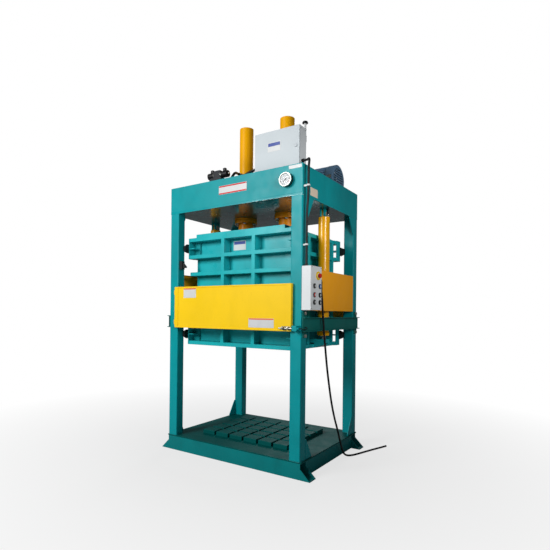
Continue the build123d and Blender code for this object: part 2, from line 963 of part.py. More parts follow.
# Fixed guards: folded sheet trays at both sides and at the rear
with BuildPart() as fixed_guards:
    for side in (-1, 1):
        outer = guard_in_x + guard_depth
        z = (side_guard_z, side_guard_z + side_guard_h)
        block(both(side, guard_in_x, outer), (-leg_in_y, leg_in_y), z)
        block(
            both(side, guard_in_x, outer - guard_t),
            (-leg_in_y + guard_t, leg_in_y - guard_t),
            (z[0] + guard_t, z[1] - guard_t),
            Mode.SUBTRACT,
        )
    block((-rear_guard_x, rear_guard_x), (half_d, half_d + guard_depth), (gate_z, gate_z + gate_h))
    block(
        (-rear_guard_x + guard_t, rear_guard_x - guard_t),
        (half_d, half_d + guard_depth - guard_t),
        (gate_z + guard_t, gate_z + gate_h - guard_t),
        Mode.SUBTRACT,
    )
fixed_guards.part.label = "fixed_guards"
export_step(fixed_guards.part, "parts/fixed_guards.step")

# Loading gate: a folded tray with raised stiles, hinge barrels and latch loops
with BuildPart() as gate_panel:
    block((gate_x0, gate_x1), (gate_front, gate_back), (gate_z, gate_z + gate_h))
    block(
        (gate_x0 + gate_t, gate_x1 - gate_t),
        (gate_front + gate_step + gate_t, gate_back),
        (gate_z + gate_t, gate_z + gate_h - gate_t),
        Mode.SUBTRACT,
    )
    block(
        (gate_x0 + gate_stile, gate_x1 - gate_stile),
        (gate_front, gate_front + gate_step),
        (gate_z + gate_strip, gate_z + gate_h - gate_strip),
        Mode.SUBTRACT,
    )
    for stiffener in (-gate_stiffener_x, gate_stiffener_x):
        block(
            span(stiffener, gate_stiffener_w),
            (gate_front + gate_step + gate_t, gate_back - gate_t),
            (gate_z + gate_t, gate_z + gate_h - gate_t),
        )
    for hinge_z in hinge_levels:
        barrel_z = hinge_z - hinge_barrel_h / 2
        round_bar(level(hinge_x, hinge_y, barrel_z), hinge_barrel_d, hinge_barrel_h)
        block(
            (hinge_x, gate_x0 + gate_t),
            span(hinge_y, hinge_web),
            (barrel_z, barrel_z + hinge_barrel_h),
        )
        round_bar(
            level(hinge_x, hinge_y, barrel_z), hinge_pin_d + 2 * fit, hinge_barrel_h, mode=Mode.SUBTRACT
        )
    for loop in range(2):
        loop_x1 = gate_x1 - loop_in - loop * loop_pitch
        block(
            (loop_x1 - loop_w, loop_x1),
            (latch_y - loop_size / 2, gate_front + gate_step),
            span(latch_z, loop_size),
        )
        round_bar(
            facing_x(loop_x1 - loop_w, latch_y, latch_z), latch_d + 2 * fit, loop_w, mode=Mode.SUBTRACT
        )
gate_panel.part.label = "gate_panel"
export_step(gate_panel.part, "parts/gate_panel.step")

# Fixed hinge leaves on the front left leg, each with two barrels and its pin
with BuildPart() as gate_hinges:
    for hinge_z in hinge_levels:
        half_barrel = hinge_barrel_h / 2 + hinge_play
        leaf_x1 = gate_x0 - 1
        block(
            (leaf_x1 - hinge_leaf_x, leaf_x1),
            (-half_d - hinge_leaf_t, -half_d),
            span(hinge_z, hinge_leaf_h),
        )
        for low in (hinge_z - half_barrel - hinge_end_h, hinge_z + half_barrel):
            round_bar(level(hinge_x, hinge_y, low), hinge_barrel_d, hinge_end_h)
            block(
                span(hinge_x, hinge_web),
                (hinge_y, -half_d - hinge_leaf_t),
                (low, low + hinge_end_h),
            )
        round_bar(
            level(hinge_x, hinge_y, hinge_z - half_barrel), hinge_pin_d, 2 * half_barrel
        )
gate_hinges.part.label = "gate_hinges"
export_step(gate_hinges.part, "parts/gate_hinges.step")

# Latch bolt, drawn back at rest, with a knob that stands forward
with BuildPart() as latch_bolt:
    round_bar(facing_x(latch_tail, latch_y, latch_z), latch_d, latch_len)
    chamfer(latch_bolt.edges().group_by(Axis.X)[-1], latch_d / 8)
    knob_x = gate_x1 - loop_in - loop_pitch + knob_gap + knob_d / 2
    round_bar(facing_y(knob_x, latch_y, latch_z, -1), knob_d, knob_out)
    with Locations((knob_x, latch_y - knob_out, latch_z)):
        Sphere(knob_d)
latch_bolt.part.label = "latch_bolt"
export_step(latch_bolt.part, "parts/latch_bolt.step")

# Keeper on the front right leg: a block with a square pocket and the interlock's plunger head
with BuildPart() as latch_keeper:
    keeper_x1 = keeper_x0 + keeper_x
    block((keeper_x0, keeper_x1), (latch_y - keeper_out, -half_d), span(latch_z, keeper_z))
    fillet(latch_keeper.edges().filter_by(Axis.X).group_by(Axis.Y)[0], keeper_out / 3)
    block(
        (keeper_x0, keeper_x0 + keeper_depth),
        span(latch_y, keeper_pocket),
        span(latch_z, keeper_pocket),
        Mode.SUBTRACT,
    )
    round_bar(facing_x(keeper_x1, latch_y, latch_z), plunger_d, plunger_len)
latch_keeper.part.label = "latch_keeper"
export_step(latch_keeper.part, "parts/latch_keeper.step")

# Oil tank in the rear of the crosshead, a welded box that carries the motor
with BuildPart() as oil_tank:
    block((tank_x0, tank_x1), (tank_y0, tank_y1), (floor_top, tank_top))
    block(
        (tank_x0 + tank_wall, tank_x1 - tank_wall),
        (tank_y0 + tank_wall, tank_y1 - tank_wall),
        (floor_top + tank_wall, tank_top - tank_wall),
        Mode.SUBTRACT,
    )
    round_bar(level(tank_x0 + filler_in, motor_y, tank_top), port_plug_d, port_d)
oil_tank.part.label = "oil_tank"
export_step(oil_tank.part, "parts/oil_tank.step")

# Electric motor: finned body with feet, an end flange and a terminal box
with BuildPart() as pump_motor:
    round_bar(facing_x(motor_x0, motor_y, motor_z), motor_d, motor_len)
    for fin in range(motor_fins):
        angle = radians(fin * 360 / motor_fins)
        fin_plane = Plane(
            origin=(
                motor_x0,
                motor_y + (motor_d + motor_fin) / 2 * cos(angle),
                motor_z + (motor_d + motor_fin) / 2 * sin(angle),
            ),
            x_dir=(0, cos(angle), sin(angle)),
            z_dir=(1, 0, 0),
        )
        with BuildSketch(fin_plane):
            Rectangle(motor_fin * 1.5, motor_fin / 2)
        extrude(amount=motor_len)
    round_bar(facing_x(motor_x0, motor_y, motor_z, -1), motor_d, motor_flange_t)
    block(
        (motor_x0 + foot_t, motor_body_x1 - foot_t),
        span(motor_y, foot_y),
        (tank_top, motor_z - motor_d / 2 + foot_t),
    )
    block(
        span((motor_x0 + motor_body_x1) / 2, motor_len * 0.4),
        (motor_y + motor_d / 2 - foot_t, motor_y + motor_d / 2 + port_d),
        span(motor_z, motor_d * 0.35),
    )
    round_bar(
        facing_x(motor_x0 - motor_flange_t, motor_y, motor_z),
        motor_shaft_d + 2 * fit,
        motor_len + motor_flange_t,
        mode=Mode.SUBTRACT,
    )
pump_motor.part.label = "pump_motor"
export_step(pump_motor.part, "parts/pump_motor.step")

# Fan cowl: a cup over the motor's tail, with slots in its end for the air
with BuildPart() as fan_cowl:
    round_bar(facing_x(motor_body_x1, motor_y, motor_z), cowl_d, cowl_len)
    round_bar(
        facing_x(motor_body_x1, motor_y, motor_z),
        cowl_d - 2 * cowl_t,
        cowl_len - cowl_t,
        mode=Mode.SUBTRACT,
    )
    fillet(fan_cowl.edges().group_by(Axis.X)[-1], cowl_t)
    for step in range(-4, 5):
        slot_half = (cowl_d / 2 * 0.8) * cos(step / 4 * radians(62))
        block(
            (motor_x1 - cowl_t, motor_x1),
            span(motor_y, 2 * slot_half),
            span(motor_z + step * cowl_d / 12, cowl_d / 36),
            Mode.SUBTRACT,
        )
    for turn in range(3):
        angle = radians(90 + turn * 120)
        lug_plane = Plane(
            origin=(
                motor_body_x1,
                motor_y + (cowl_d / 2 - cowl_t * 2) * cos(angle),
                motor_z + (cowl_d / 2 - cowl_t * 2) * sin(angle),
            ),
            x_dir=(0, cos(angle), sin(angle)),
            z_dir=(1, 0, 0),
        )
        with BuildSketch(lug_plane):
            Rectangle(cowl_t * 3, cowl_t * 5)
        extrude(amount=cowl_t)
fan_cowl.part.label = "fan_cowl"
export_step(fan_cowl.part, "parts/fan_cowl.step")

# Rotor: one shaft with the cooling fan at the tail and a coupling at the pump
fan_x0 = motor_body_x1 + cowl_t + rotor_gap
with BuildPart() as motor_rotor:
    coupling_x0 = bell_x0 + rotor_gap * 3
    round_bar(facing_x(coupling_x0, motor_y, motor_z), motor_shaft_d, fan_x0 + fan_t - coupling_x0)
    round_bar(facing_x(coupling_x0, motor_y, motor_z), motor_shaft_d * 2, bell_len / 2)
    round_bar(facing_x(fan_x0, motor_y, motor_z), fan_hub_d, fan_t)
    for blade in range(fan_blades):
        angle = radians(blade * 360 / fan_blades)
        blade_mid = (fan_hub_d + fan_d) / 4
        blade_plane = Plane(
            origin=(fan_x0, motor_y + blade_mid * cos(angle), motor_z + blade_mid * sin(angle)),
            x_dir=(0, cos(angle), sin(angle)),
            z_dir=(1, 0, 0),
        )
        with BuildSketch(blade_plane):
            Rectangle((fan_d - fan_hub_d) / 2 + fan_blade_t, fan_blade_t)
        extrude(amount=fan_t)
motor_rotor.part.label = "motor_rotor"
export_step(motor_rotor.part, "parts/motor_rotor.step")

# Oil pump with the bell housing that joins it to the motor
with BuildPart() as oil_pump:
    round_bar(facing_x(bell_x0, motor_y, motor_z), bell_d, bell_len)
    round_bar(
        facing_x(bell_x0 + rotor_gap, motor_y, motor_z),
        motor_shaft_d * 2 + 2 * pump_bore_clear,
        bell_len - rotor_gap,
        mode=Mode.SUBTRACT,
    )
    block((pump_x0, bell_x0), span(motor_y, pump_size), span(motor_z, pump_size))
    fillet(oil_pump.edges().filter_by(Axis.X).group_by(Axis.Z)[0], pump_size / 8)
    pump_low = motor_z - pump_size / 2
    round_bar(level(pump_x0 + pump_len / 2, motor_y, tank_top), port_d, pump_low - tank_top)
oil_pump.part.label = "oil_pump"
export_step(oil_pump.part, "parts/oil_pump.step")

# Valve block on two plates behind the front wall, with two coils on its valve
with BuildPart() as valve_block:
    block(span(valve_x, valve_w), span(valve_y, valve_d), (valve_z, valve_top))
    for cheek in (-1, 1):
        block(
            span(valve_x + cheek * (valve_w - valve_stand_t) / 2, valve_stand_t),
            span(valve_y, valve_d),
            (floor_top, valve_z),
        )
    block(
        span(valve_x, valve_body_x), span(valve_y, valve_body_y), (valve_top, valve_top + valve_body_h)
    )
valve_block.part.label = "valve_block"
export_step(valve_block.part, "parts/valve_block.step")

with BuildPart() as valve_solenoids:
    for side in (-1, 1):
        coil_x = valve_x + side * valve_body_x / 2
        round_bar(facing_x(coil_x, valve_y, coil_z, side), coil_d, coil_len)
        round_bar(facing_x(coil_x + side * coil_len, valve_y, coil_z, side), coil_cap_d, coil_cap_len)
valve_solenoids.part.label = "valve_solenoids"
export_step(valve_solenoids.part, "parts/valve_solenoids.step")

# Oil lines: valve block to both rams and the pump, and to the lift cylinders
port_y = -ram_d / 2 - port_reach
port_z = head_top + port_rise
ram_x = ram_pitch / 2
valve_back = valve_y + valve_d / 2
hose_z = valve_z + valve_h / 2
hose_bend_y = valve_back + hose_run
pump_port_x = pump_x0 + pump_port_in
pump_front = motor_y - pump_size / 2
hose_routes = [
    [
        (valve_x, valve_back, hose_z),
        (valve_x, hose_bend_y, hose_z),
        (0, -web_y, motor_z),
        (pump_port_x, pump_front - hose_run, motor_z),
        (pump_port_x, pump_front, motor_z),
    ],
    [
        (valve_x + 65, valve_back, hose_z + 30),
        (valve_x + 65, valve_back + 35, hose_z + 30),
        (valve_x + 115, valve_back + 60, hose_z + 130),
        (valve_x + 80, valve_back + 140, port_z - 40),
        (-ram_x, port_y - hose_rise_run, port_z),
        (-ram_x, port_y, port_z),
    ],
    [
        (valve_x + 40, valve_back, hose_z),
        (valve_x + 40, hose_bend_y, hose_z),
        (valve_x + 220, hose_bend_y + 56, hose_z + 135),
        (150, port_y - 150, port_z - 10),
        (ram_x, port_y - hose_rise_run, port_z),
        (ram_x, port_y, port_z),
    ],
]
lift_line_y = valve_y + lift_line_in
line_routes = []
for side in (-1, 1):
    valve_face = valve_x + side * valve_w / 2
    line_x = valve_face + side * hose_run
    line_routes.append(
        [
            (side * port_x, 0, lift_tube_top),
            (side * port_x, 0, line_z),
            (side * port_x, lift_line_y, line_z),
            (line_x, lift_line_y, line_z),
            (line_x, lift_line_y, hose_z),
            (valve_face, lift_line_y, hose_z),
        ]
    )
bent_lines = [(route, hose_d, bend_radii(route)) for route in hose_routes]
bent_lines += [(route, lift_line_d, lift_line_bend) for route in line_routes]
with BuildPart() as hydraulic_hoses:
    for route, diameter, bend in bent_lines:
        with BuildLine() as path:
            FilletPolyline(*route, radius=bend)
        with BuildSketch(Plane(origin=path.line @ 0, z_dir=path.line % 0)):
            Circle(diameter / 2)
        sweep(path=path.line)
hydraulic_hoses.part.label = "hydraulic_hoses"
export_step(hydraulic_hoses.part, "parts/hydraulic_hoses.step")

# Electrical cabinet: open-fronted shell, tray door on two pin hinges, quarter-turn lock and posts
with BuildPart() as cabinet_shell:
    shell_y0 = door_back + door_gap
    block((cab_x0, cab_x1), (shell_y0, cab_y1), (cab_z, cab_top))
    block(
        (cab_x0 + cab_t, cab_x1 - cab_t),
        (shell_y0, cab_y1 - cab_t),
        (cab_z + cab_t, cab_top - cab_t),
        Mode.SUBTRACT,
    )
    for hinge_z in cab_hinge_levels:
        half_barrel = cab_barrel_h / 2 + hinge_play
        for low in (hinge_z - half_barrel - cab_end_h, hinge_z + half_barrel):
            round_bar(level(cab_hinge_x, door_back, low), cab_barrel_d, cab_end_h)
            block(
                (cab_hinge_x, cab_x0),
                (shell_y0, shell_y0 + cab_hinge_web),
                (low, low + cab_end_h),
            )
        round_bar(level(cab_hinge_x, door_back, hinge_z - half_barrel), cab_pin_d, 2 * half_barrel)
cabinet_shell.part.label = "cabinet_shell"
export_step(cabinet_shell.part, "parts/cabinet_shell.step")

with BuildPart() as cabinet_door:
    block((cab_x0, cab_x1), (cab_y0, door_back), (cab_z, cab_top))
    block(
        (cab_x0 + cab_t, cab_x1 - cab_t),
        (cab_y0 + cab_t, door_back),
        (cab_z + cab_t, cab_top - cab_t),
        Mode.SUBTRACT,
    )
    round_bar(facing_y(lock_x, cab_y0 + cab_t, lock_z, -1), lock_d + 2 * fit, cab_t, mode=Mode.SUBTRACT)
    fillet(cabinet_door.edges().filter_by(Axis.Z).group_by(Axis.Y)[0], cab_t / 2)
    for hinge_z in cab_hinge_levels:
        barrel_z = hinge_z - cab_barrel_h / 2
        round_bar(level(cab_hinge_x, door_back, barrel_z), cab_barrel_d, cab_barrel_h)
        block(
            (cab_hinge_x, cab_x0),
            (door_back - cab_hinge_web, door_back),
            (barrel_z, barrel_z + cab_barrel_h),
        )
        round_bar(
            level(cab_hinge_x, door_back, barrel_z), cab_pin_d + 2 * fit, cab_barrel_h, mode=Mode.SUBTRACT
        )
cabinet_door.part.label = "cabinet_door"
export_step(cabinet_door.part, "parts/cabinet_door.step")

lock_front = cab_y0 - lock_head_t
lock_back = cab_y0 + cab_t + door_gap
with BuildPart() as door_lock:
    round_bar(facing_y(lock_x, cab_y0, lock_z, -1), lock_head_d, lock_head_t)
    round_bar(facing_y(lock_x, lock_back, lock_z, -1), lock_d, lock_back - cab_y0)
    block(
        (lock_x - lock_d / 2, lock_x + lock_d / 2),
        (lock_back, lock_back + lock_cam_t),
        (lock_z - lock_cam_len, lock_z + lock_d / 2),
    )
    block(
        span(lock_x, lock_slot),
        (lock_front, lock_front + lock_slot_depth),
        span(lock_z, lock_slot_w),
        Mode.SUBTRACT,
    )
door_lock.part.label = "door_lock"
export_step(door_lock.part, "parts/door_lock.step")

with BuildPart() as cabinet_posts:
    for post_x in (cab_x0 + post_in, cab_x1 - post_in):
        block(span(post_x, post_w), span((shell_y0 + cab_y1) / 2, post_w), (floor_top, cab_z))
cabinet_posts.part.label = "cabinet_posts"
export_step(cabinet_posts.part, "parts/cabinet_posts.step")

# Mast behind the cabinet: a stem with a mushroom cap, clamped to the back
with BuildPart() as signal_mast:
    round_bar(level(mast_x, mast_y, cab_top - mast_grip), mast_d, mast_grip + mast_h)
    block(
        span(mast_x, mast_d * 1.6),
        (cab_y1, mast_y),
        (cab_top - mast_grip, cab_top - mast_grip / 2),
    )
    round_bar(level(mast_x, mast_y, cab_top + mast_h), mast_cap_d, mast_cap_h)
    fillet(signal_mast.edges().group_by(Axis.Z)[-1], mast_cap_round)
signal_mast.part.label = "signal_mast"
export_step(signal_mast.part, "parts/signal_mast.step")

# Pressure gauge on the front plate, with a dished dial and a spindle
needle_y = gauge_front + gauge_recess / 2
with BuildPart() as pressure_gauge:
    round_bar(facing_y(gauge_x, -half_d, gauge_z, -1), gauge_d, gauge_depth)
    round_bar(
        facing_y(gauge_x, gauge_front + gauge_recess, gauge_z, -1),
        gauge_d - 2 * gauge_bezel,
        gauge_recess,
        mode=Mode.SUBTRACT,
    )
    fillet(pressure_gauge.edges().group_by(Axis.Y)[0], gauge_bezel / 3)
    round_bar(facing_y(gauge_x, gauge_front + gauge_recess, gauge_z, -1), spindle_d, spindle_len)
pressure_gauge.part.label = "pressure_gauge"
export_step(pressure_gauge.part, "parts/pressure_gauge.step")

with BuildPart() as gauge_needle:
    with BuildSketch(facing_y(gauge_x, needle_y + needle_t / 2, gauge_z, -1)):
        Circle(needle_hub_d / 2)
        with BuildLine():
            Polyline(
                (-needle_w / 2, 0),
                (-needle_w / 2, -needle_len / 3),
                (needle_w / 2, -needle_len / 3),
                (needle_w / 2, 0),
                (0, needle_len),
                close=True,
            )
        make_face()
        Circle(spindle_d / 2 + fit, mode=Mode.SUBTRACT)
    extrude(amount=needle_t)
    gauge_needle.part = gauge_needle.part.rotate(Axis((gauge_x, needle_y, gauge_z), (0, -1, 0)), 135)
gauge_needle.part.label = "gauge_needle"
export_step(gauge_needle.part, "parts/gauge_needle.step")

# Control box on the leg: shell open to the right, and a cover with its bezels
with BuildPart() as control_box:
    block((half_w, box_x1), (box_y0, box_y1), (box_z, box_top))
    block(
        (half_w + box_t, box_x1),
        (box_y0 + box_t, box_y1 - box_t),
        (box_z + box_t, box_top - box_t),
        Mode.SUBTRACT,
    )
control_box.part.label = "control_box"
export_step(control_box.part, "parts/control_box.step")

button_spots = [(y, z) for z in button_rows for y in button_cols]
with BuildPart() as control_cover:
    block((box_x1, cover_x1), (box_y0, box_y1), (box_z, box_top))
    for y, z in button_spots:
        round_bar(facing_x(cover_x1, y, z), button_bezel, button_bezel_h)
    round_bar(facing_x(cover_x1, stop_y, stop_z), stop_plate_d, stop_plate_h)
    for y, z in button_spots:
        bezel_hole = facing_x(box_x1, y, z)
        round_bar(bezel_hole, button_d + 2 * fit, cover_t + button_bezel_h, mode=Mode.SUBTRACT)
    stop_hole = facing_x(box_x1, stop_y, stop_z)
    round_bar(stop_hole, stop_stem_d + 2 * fit, cover_t + stop_plate_h, mode=Mode.SUBTRACT)
control_cover.part.label = "control_cover"
export_step(control_cover.part, "parts/control_cover.step")

for number, (y, z) in enumerate(button_spots, start=1):
    with BuildPart() as button:
        round_bar(facing_x(box_x1 - button_in, y, z), button_d, button_in + cover_t + button_out)
        chamfer(button.edges().group_by(Axis.X)[-1], button_d / 18)
    button.part.label = f"push_button_{number}"
    export_step(button.part, f"parts/push_button_{number}.step")

with BuildPart() as emergency_stop:
    stop_face = cover_x1 + stop_out
    stop_back = box_x1 - button_in
    round_bar(facing_x(stop_back, stop_y, stop_z), stop_stem_d, stop_face - stop_back)
    round_bar(facing_x(stop_face - stop_head_h, stop_y, stop_z), stop_head_d, stop_head_h)
    fillet(emergency_stop.edges().group_by(Axis.X)[-1], stop_head_h / 3)
emergency_stop.part.label = "emergency_stop"
export_step(emergency_stop.part, "parts/emergency_stop.step")

# Conduit from the cabinet down to the control box, and the interlock's lead
conduit_start = (cab_x1 + gland_nut_h, -545, cab_z + 52)
conduit_upper_x = half_w + 50
conduit_lower_x = half_w + 36
conduit_route = [
    conduit_start,
    (cab_x1 + 55, -545, cab_z + 52),
    (half_w + 42, -598, cab_z + 45),
    (conduit_upper_x, conduit_y, cab_z - 50),
    (conduit_upper_x, conduit_y, head_z - 20),
    (conduit_lower_x, conduit_y, head_z - 160),
    (conduit_lower_x, conduit_y, box_top + gland_nut_h),
]
lead_start = keeper_x0 + keeper_x + plunger_len
lead_route = [
    (lead_start, latch_y, latch_z),
    (lead_start + 22, latch_y, latch_z),
    (lead_start + 52, -half_d - 30, latch_z - 9),
    (lead_start + 52, -half_d + 10, latch_z - 3),
    (lead_start + 36, -half_d + 32, latch_z + 9),
    (mid_x + mid_web, -half_d + 32, latch_z + 9),
]
with BuildPart() as control_conduit:
    for route, diameter in ((conduit_route, conduit_d), (lead_route, lead_d)):
        with BuildLine() as path:
            FilletPolyline(*route, radius=bend_radii(route))
        with BuildSketch(Plane(origin=path.line @ 0, z_dir=path.line % 0)):
            Circle(diameter / 2)
        sweep(path=path.line)
control_conduit.part.label = "control_conduit"
export_step(control_conduit.part, "parts/control_conduit.step")

# Clips that hold the conduit to the leg and to the crosshead
with BuildPart() as conduit_clips:
    for level_z in clip_z:
        clip_x = conduit_lower_x if level_z < head_z else conduit_upper_x
        clip_foot = level(clip_x, conduit_y, level_z - clip_h / 2)
        round_bar(clip_foot, conduit_d + 2 * clip_t, clip_h)
        block((half_w, clip_x), span(conduit_y, clip_t), span(level_z, clip_h))
        round_bar(clip_foot, conduit_d + 2 * fit, clip_h, mode=Mode.SUBTRACT)
conduit_clips.part.label = "conduit_clips"
export_step(conduit_clips.part, "parts/conduit_clips.step")

# Cable glands: two straight ones for the conduit, an elbow for the supply cable
with BuildPart() as cable_glands:
    round_bar(facing_x(cab_x1, conduit_start[1], conduit_start[2]), gland_nut_d, gland_nut_h)
    round_bar(level(conduit_lower_x, conduit_y, box_top), gland_nut_d, gland_nut_h)
    with BuildLine() as path:
        FilletPolyline(
            (elbow_x, box_y1, elbow_z),
            (elbow_x, elbow_y, elbow_z),
            (elbow_x, elbow_y, elbow_z - elbow_drop),
            radius=elbow_bend,
        )
    with BuildSketch(Plane(origin=path.line @ 0, z_dir=path.line % 0)):
        Circle(elbow_d / 2)
    sweep(path=path.line)
    round_bar(facing_y(elbow_x, box_y1, elbow_z), gland_nut_d, gland_nut_h)
    round_bar(level(elbow_x, elbow_y, elbow_z - elbow_drop), gland_nut_d, gland_nut_h)
    round_bar(
        level(elbow_x, elbow_y, elbow_z - elbow_drop),
        cord_d + 2 * cord_clear,
        cord_in + cord_clear,
        mode=Mode.SUBTRACT,
    )
cable_glands.part.label = "cable_glands"
export_step(cable_glands.part, "parts/cable_glands.step")

# Supply cable: hangs from the elbow, slants back to the floor and runs out bare
cord_route = [
    (elbow_x, elbow_y, elbow_z - elbow_drop + cord_in),
    (elbow_x, elbow_y, elbow_z - elbow_drop),
    (890, -354, 1752),
    (892, -338, 1665),
    (894, -324, 1535),
    (895, -302, 1365),
    (896, -266, 1185),
    (895, -226, 1000),
    (896, -176, 815),
    (895, -117, 632),
    (895, -42, 462),
    (894, 46, 312),
    (893, 104, 196),
    (894, 150, 104),
    (901, 188, 38),
    (925, 226, 12),
    (962, 278, 10),
    (996, 366, 10),
    (1034, 485, 10),
    (1080, 620, 10),
    (1119, 722, 10),
    (1149, 812, 10),
]
cord_radii = bend_radii(cord_route)
with BuildPart() as supply_cable:
    with BuildLine() as path:
        FilletPolyline(*cord_route, radius=cord_radii)
    with BuildSketch(Plane(origin=path.line @ 0, z_dir=path.line % 0)):
        Circle(cord_d / 2)
    sweep(path=path.line)
supply_cable.part.label = "supply_cable"
export_step(supply_cable.part, "parts/supply_cable.step")
cord_length = sum(edge.length for edge in path.line.edges())
cord_section = radians(180) * cord_d**2 / 4
cord_fill = supply_cable.part.volume / (cord_section * cord_length)
print("supply cable bend radii, mm:", [round(radius) for radius in cord_radii])
print("supply cable length, mm:", round(cord_length))
print("supply cable volume over section times length:", round(cord_fill, 4))

# Switch on the front left leg that stops the chamber at its top position
with BuildPart() as position_sensor:
    sensor_x = -leg_in_x
    block((sensor_x, sensor_x + sensor_w), span(sensor_y, sensor_w), span(sensor_z, sensor_h))
    prism_y(
        span(sensor_y, sensor_w / 2),
        [
            (sensor_x + sensor_w, sensor_z + sensor_h / 3),
            (sensor_x + sensor_w + sensor_reach, sensor_z - sensor_h / 6),
            (sensor_x + sensor_w + sensor_reach, sensor_z - sensor_h / 3),
            (sensor_x + sensor_w, sensor_z - sensor_h / 3),
        ],
    )
position_sensor.part.label = "position_sensor"
export_step(position_sensor.part, "parts/position_sensor.step")
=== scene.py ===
import math

import bmesh
import bpy
from bpy.props import FloatProperty, FloatVectorProperty, PointerProperty
from mathutils import Matrix, Vector


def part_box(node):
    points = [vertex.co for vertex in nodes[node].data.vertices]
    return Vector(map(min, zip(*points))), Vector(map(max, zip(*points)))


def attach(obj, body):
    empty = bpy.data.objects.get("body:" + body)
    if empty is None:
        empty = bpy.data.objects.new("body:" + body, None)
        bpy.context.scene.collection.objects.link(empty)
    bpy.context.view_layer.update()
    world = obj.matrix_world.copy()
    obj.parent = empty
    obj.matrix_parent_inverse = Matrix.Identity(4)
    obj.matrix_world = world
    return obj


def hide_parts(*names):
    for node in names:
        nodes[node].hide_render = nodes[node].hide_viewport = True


bl_info = {
    "name": "Recycling Baler Dressing",
    "version": (1, 0, 0),
    "blender": (4, 5, 0),
    "location": "View3D > Sidebar > Baler",
    "description": "Dresses the two-ram lifting-chamber baler and sets up its studio",
    "category": "Object",
}

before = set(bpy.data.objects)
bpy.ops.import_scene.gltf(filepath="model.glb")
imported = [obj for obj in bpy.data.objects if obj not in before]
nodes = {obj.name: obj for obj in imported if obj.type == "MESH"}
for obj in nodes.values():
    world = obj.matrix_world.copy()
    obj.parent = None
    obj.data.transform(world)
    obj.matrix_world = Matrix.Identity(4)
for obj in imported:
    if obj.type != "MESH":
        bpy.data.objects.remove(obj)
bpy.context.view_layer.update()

MM = 0.001
LEFT = Vector((-1, 0, 0))
RIGHT = Vector((1, 0, 0))
FRONT = Vector((0, -1, 0))
BACK = Vector((0, 1, 0))
UP = Vector((0, 0, 1))
HANDS = ((-1, "left"), (1, "right"))

# Corners of a mesh that lie this close are one corner
MERGE_GAP = 0.01 * MM

# Sizes of the baler that its trim is set out from, in mm
RAM_X = 278
LIFT_X = 738
CHAMBER_WALL = 420
RIB_PITCH = 191
RIB_HEIGHT = 40
RIB_BAYS = 6
CROSSHEAD_FACE = -650
CROSSHEAD_SIDE = 840
GATE_FACE = -686
GATE_STILE_FACE = -690
DOOR_FACE = -600
CONTROL_FACE = 938


# Colours and sizes a user would change

def tint(red, green, blue):
    """A screen colour, 0 to 255, as the linear values that a shader takes."""
    parts = (channel / 255 for channel in (red, green, blue))
    return tuple(part / 12.92 if part < 0.04 else ((part + 0.055) / 1.055) ** 2.4 for part in parts)


def colour(name, description, red, green, blue):
    return FloatVectorProperty(
        name=name,
        description=description,
        subtype="COLOR",
        size=3,
        min=0,
        max=1,
        default=tint(red, green, blue),
    )


def length(name, description, default):
    return FloatProperty(
        name=name, description=description, default=default, min=0, subtype="DISTANCE", unit="LENGTH"
    )


def angle(name, description, default):
    return FloatProperty(name=name, description=description, default=default, subtype="ANGLE")


def power(name, description, default):
    return FloatProperty(name=name, description=description, default=default, min=0, unit="POWER")


class BalerColours(bpy.types.PropertyGroup):
    teal: colour("Teal", "Enamel of the frame", 0, 146, 152)
    # The chamber's teal is lighter than the frame's: a painted sheen of the lamps on the chamber
    chamber_teal: colour("Chamber teal", "Enamel of the lifting chamber", 26, 172, 178)
    deep_teal: colour("Deep teal", "Enamel of the base beams", 0, 122, 124)
    # The deck's and the blocks' green is darker than the frame's teal: painted shade from the chamber above
    # them
    deck_green: colour("Deck green", "Enamel of the deck and the bale blocks", 0, 84, 82)
    # The side beams' green is darker than the frame's teal: painted shade on the beams' shaded side
    beam_green: colour("Beam green", "Enamel of the side beams", 8, 104, 98)
    yellow: colour("Yellow", "Powder coat of the gate", 243, 200, 20)
    # The fixed guards' yellow is more orange than the gate's: painted shade on the guards' shaded side
    guard_yellow: colour("Guard yellow", "Powder coat of the fixed guards", 255, 172, 30)
    ram_yellow: colour("Ram yellow", "Enamel of the cylinders", 238, 170, 0)
    # The glands' orange is a deeper tone of the cylinders' yellow: painted shade under the crosshead
    gland_orange: colour("Gland orange", "Enamel of the main cylinders' glands", 250, 150, 8)
    door_grey: colour("Door grey", "Powder coat of the cabinet door", 190, 198, 202)
    # The shell's and the control box's grey is lighter than the door's: painted light on their shaded sides
    cabinet_grey: colour("Cabinet grey", "Powder coat of the cabinet and the control box", 216, 220, 222)
    motor_blue: colour("Motor blue", "Enamel of the pump motor", 92, 124, 152)
    valve_grey: colour("Valve grey", "Enamel of the valve block", 40, 42, 46)
    rubber: colour("Rubber", "Hoses, conduit and supply cable", 15, 15, 16)
    plastic: colour("Black plastic", "Buttons, glands and coils", 18, 18, 20)
    zinc: colour("Zinc", "Plated bolts, pins and fittings", 176, 176, 168)
    chrome: colour("Chrome", "Polished piston rods", 214, 216, 218)
    red: colour("Red", "Stop buttons and the border of the name plate", 200, 16, 18)
    blue: colour("Blue", "Start button", 40, 110, 190)
    white: colour("White", "Clips, button inlays and labels", 204, 206, 206)
    dial: colour("Dial", "Face of the gauge", 206, 209, 211)
    navy: colour("Navy", "Header bands of the cabinet's and the chamber's labels", 48, 70, 146)
    orange: colour("Orange", "Header bands of the gate's labels", 226, 92, 24)
    beige: colour("Beige", "Rating plate", 226, 208, 186)


class BalerTrim(bpy.types.PropertyGroup):
    edge_round: length("Edge rounding", "Rounding of the welded plates' edges", 2.5 * MM)
    sheet_round: length("Sheet rounding", "Rounding of folded sheet metal", 1.0 * MM)
    weld: length("Weld radius", "Half the width of a weld bead", 5.5 * MM)


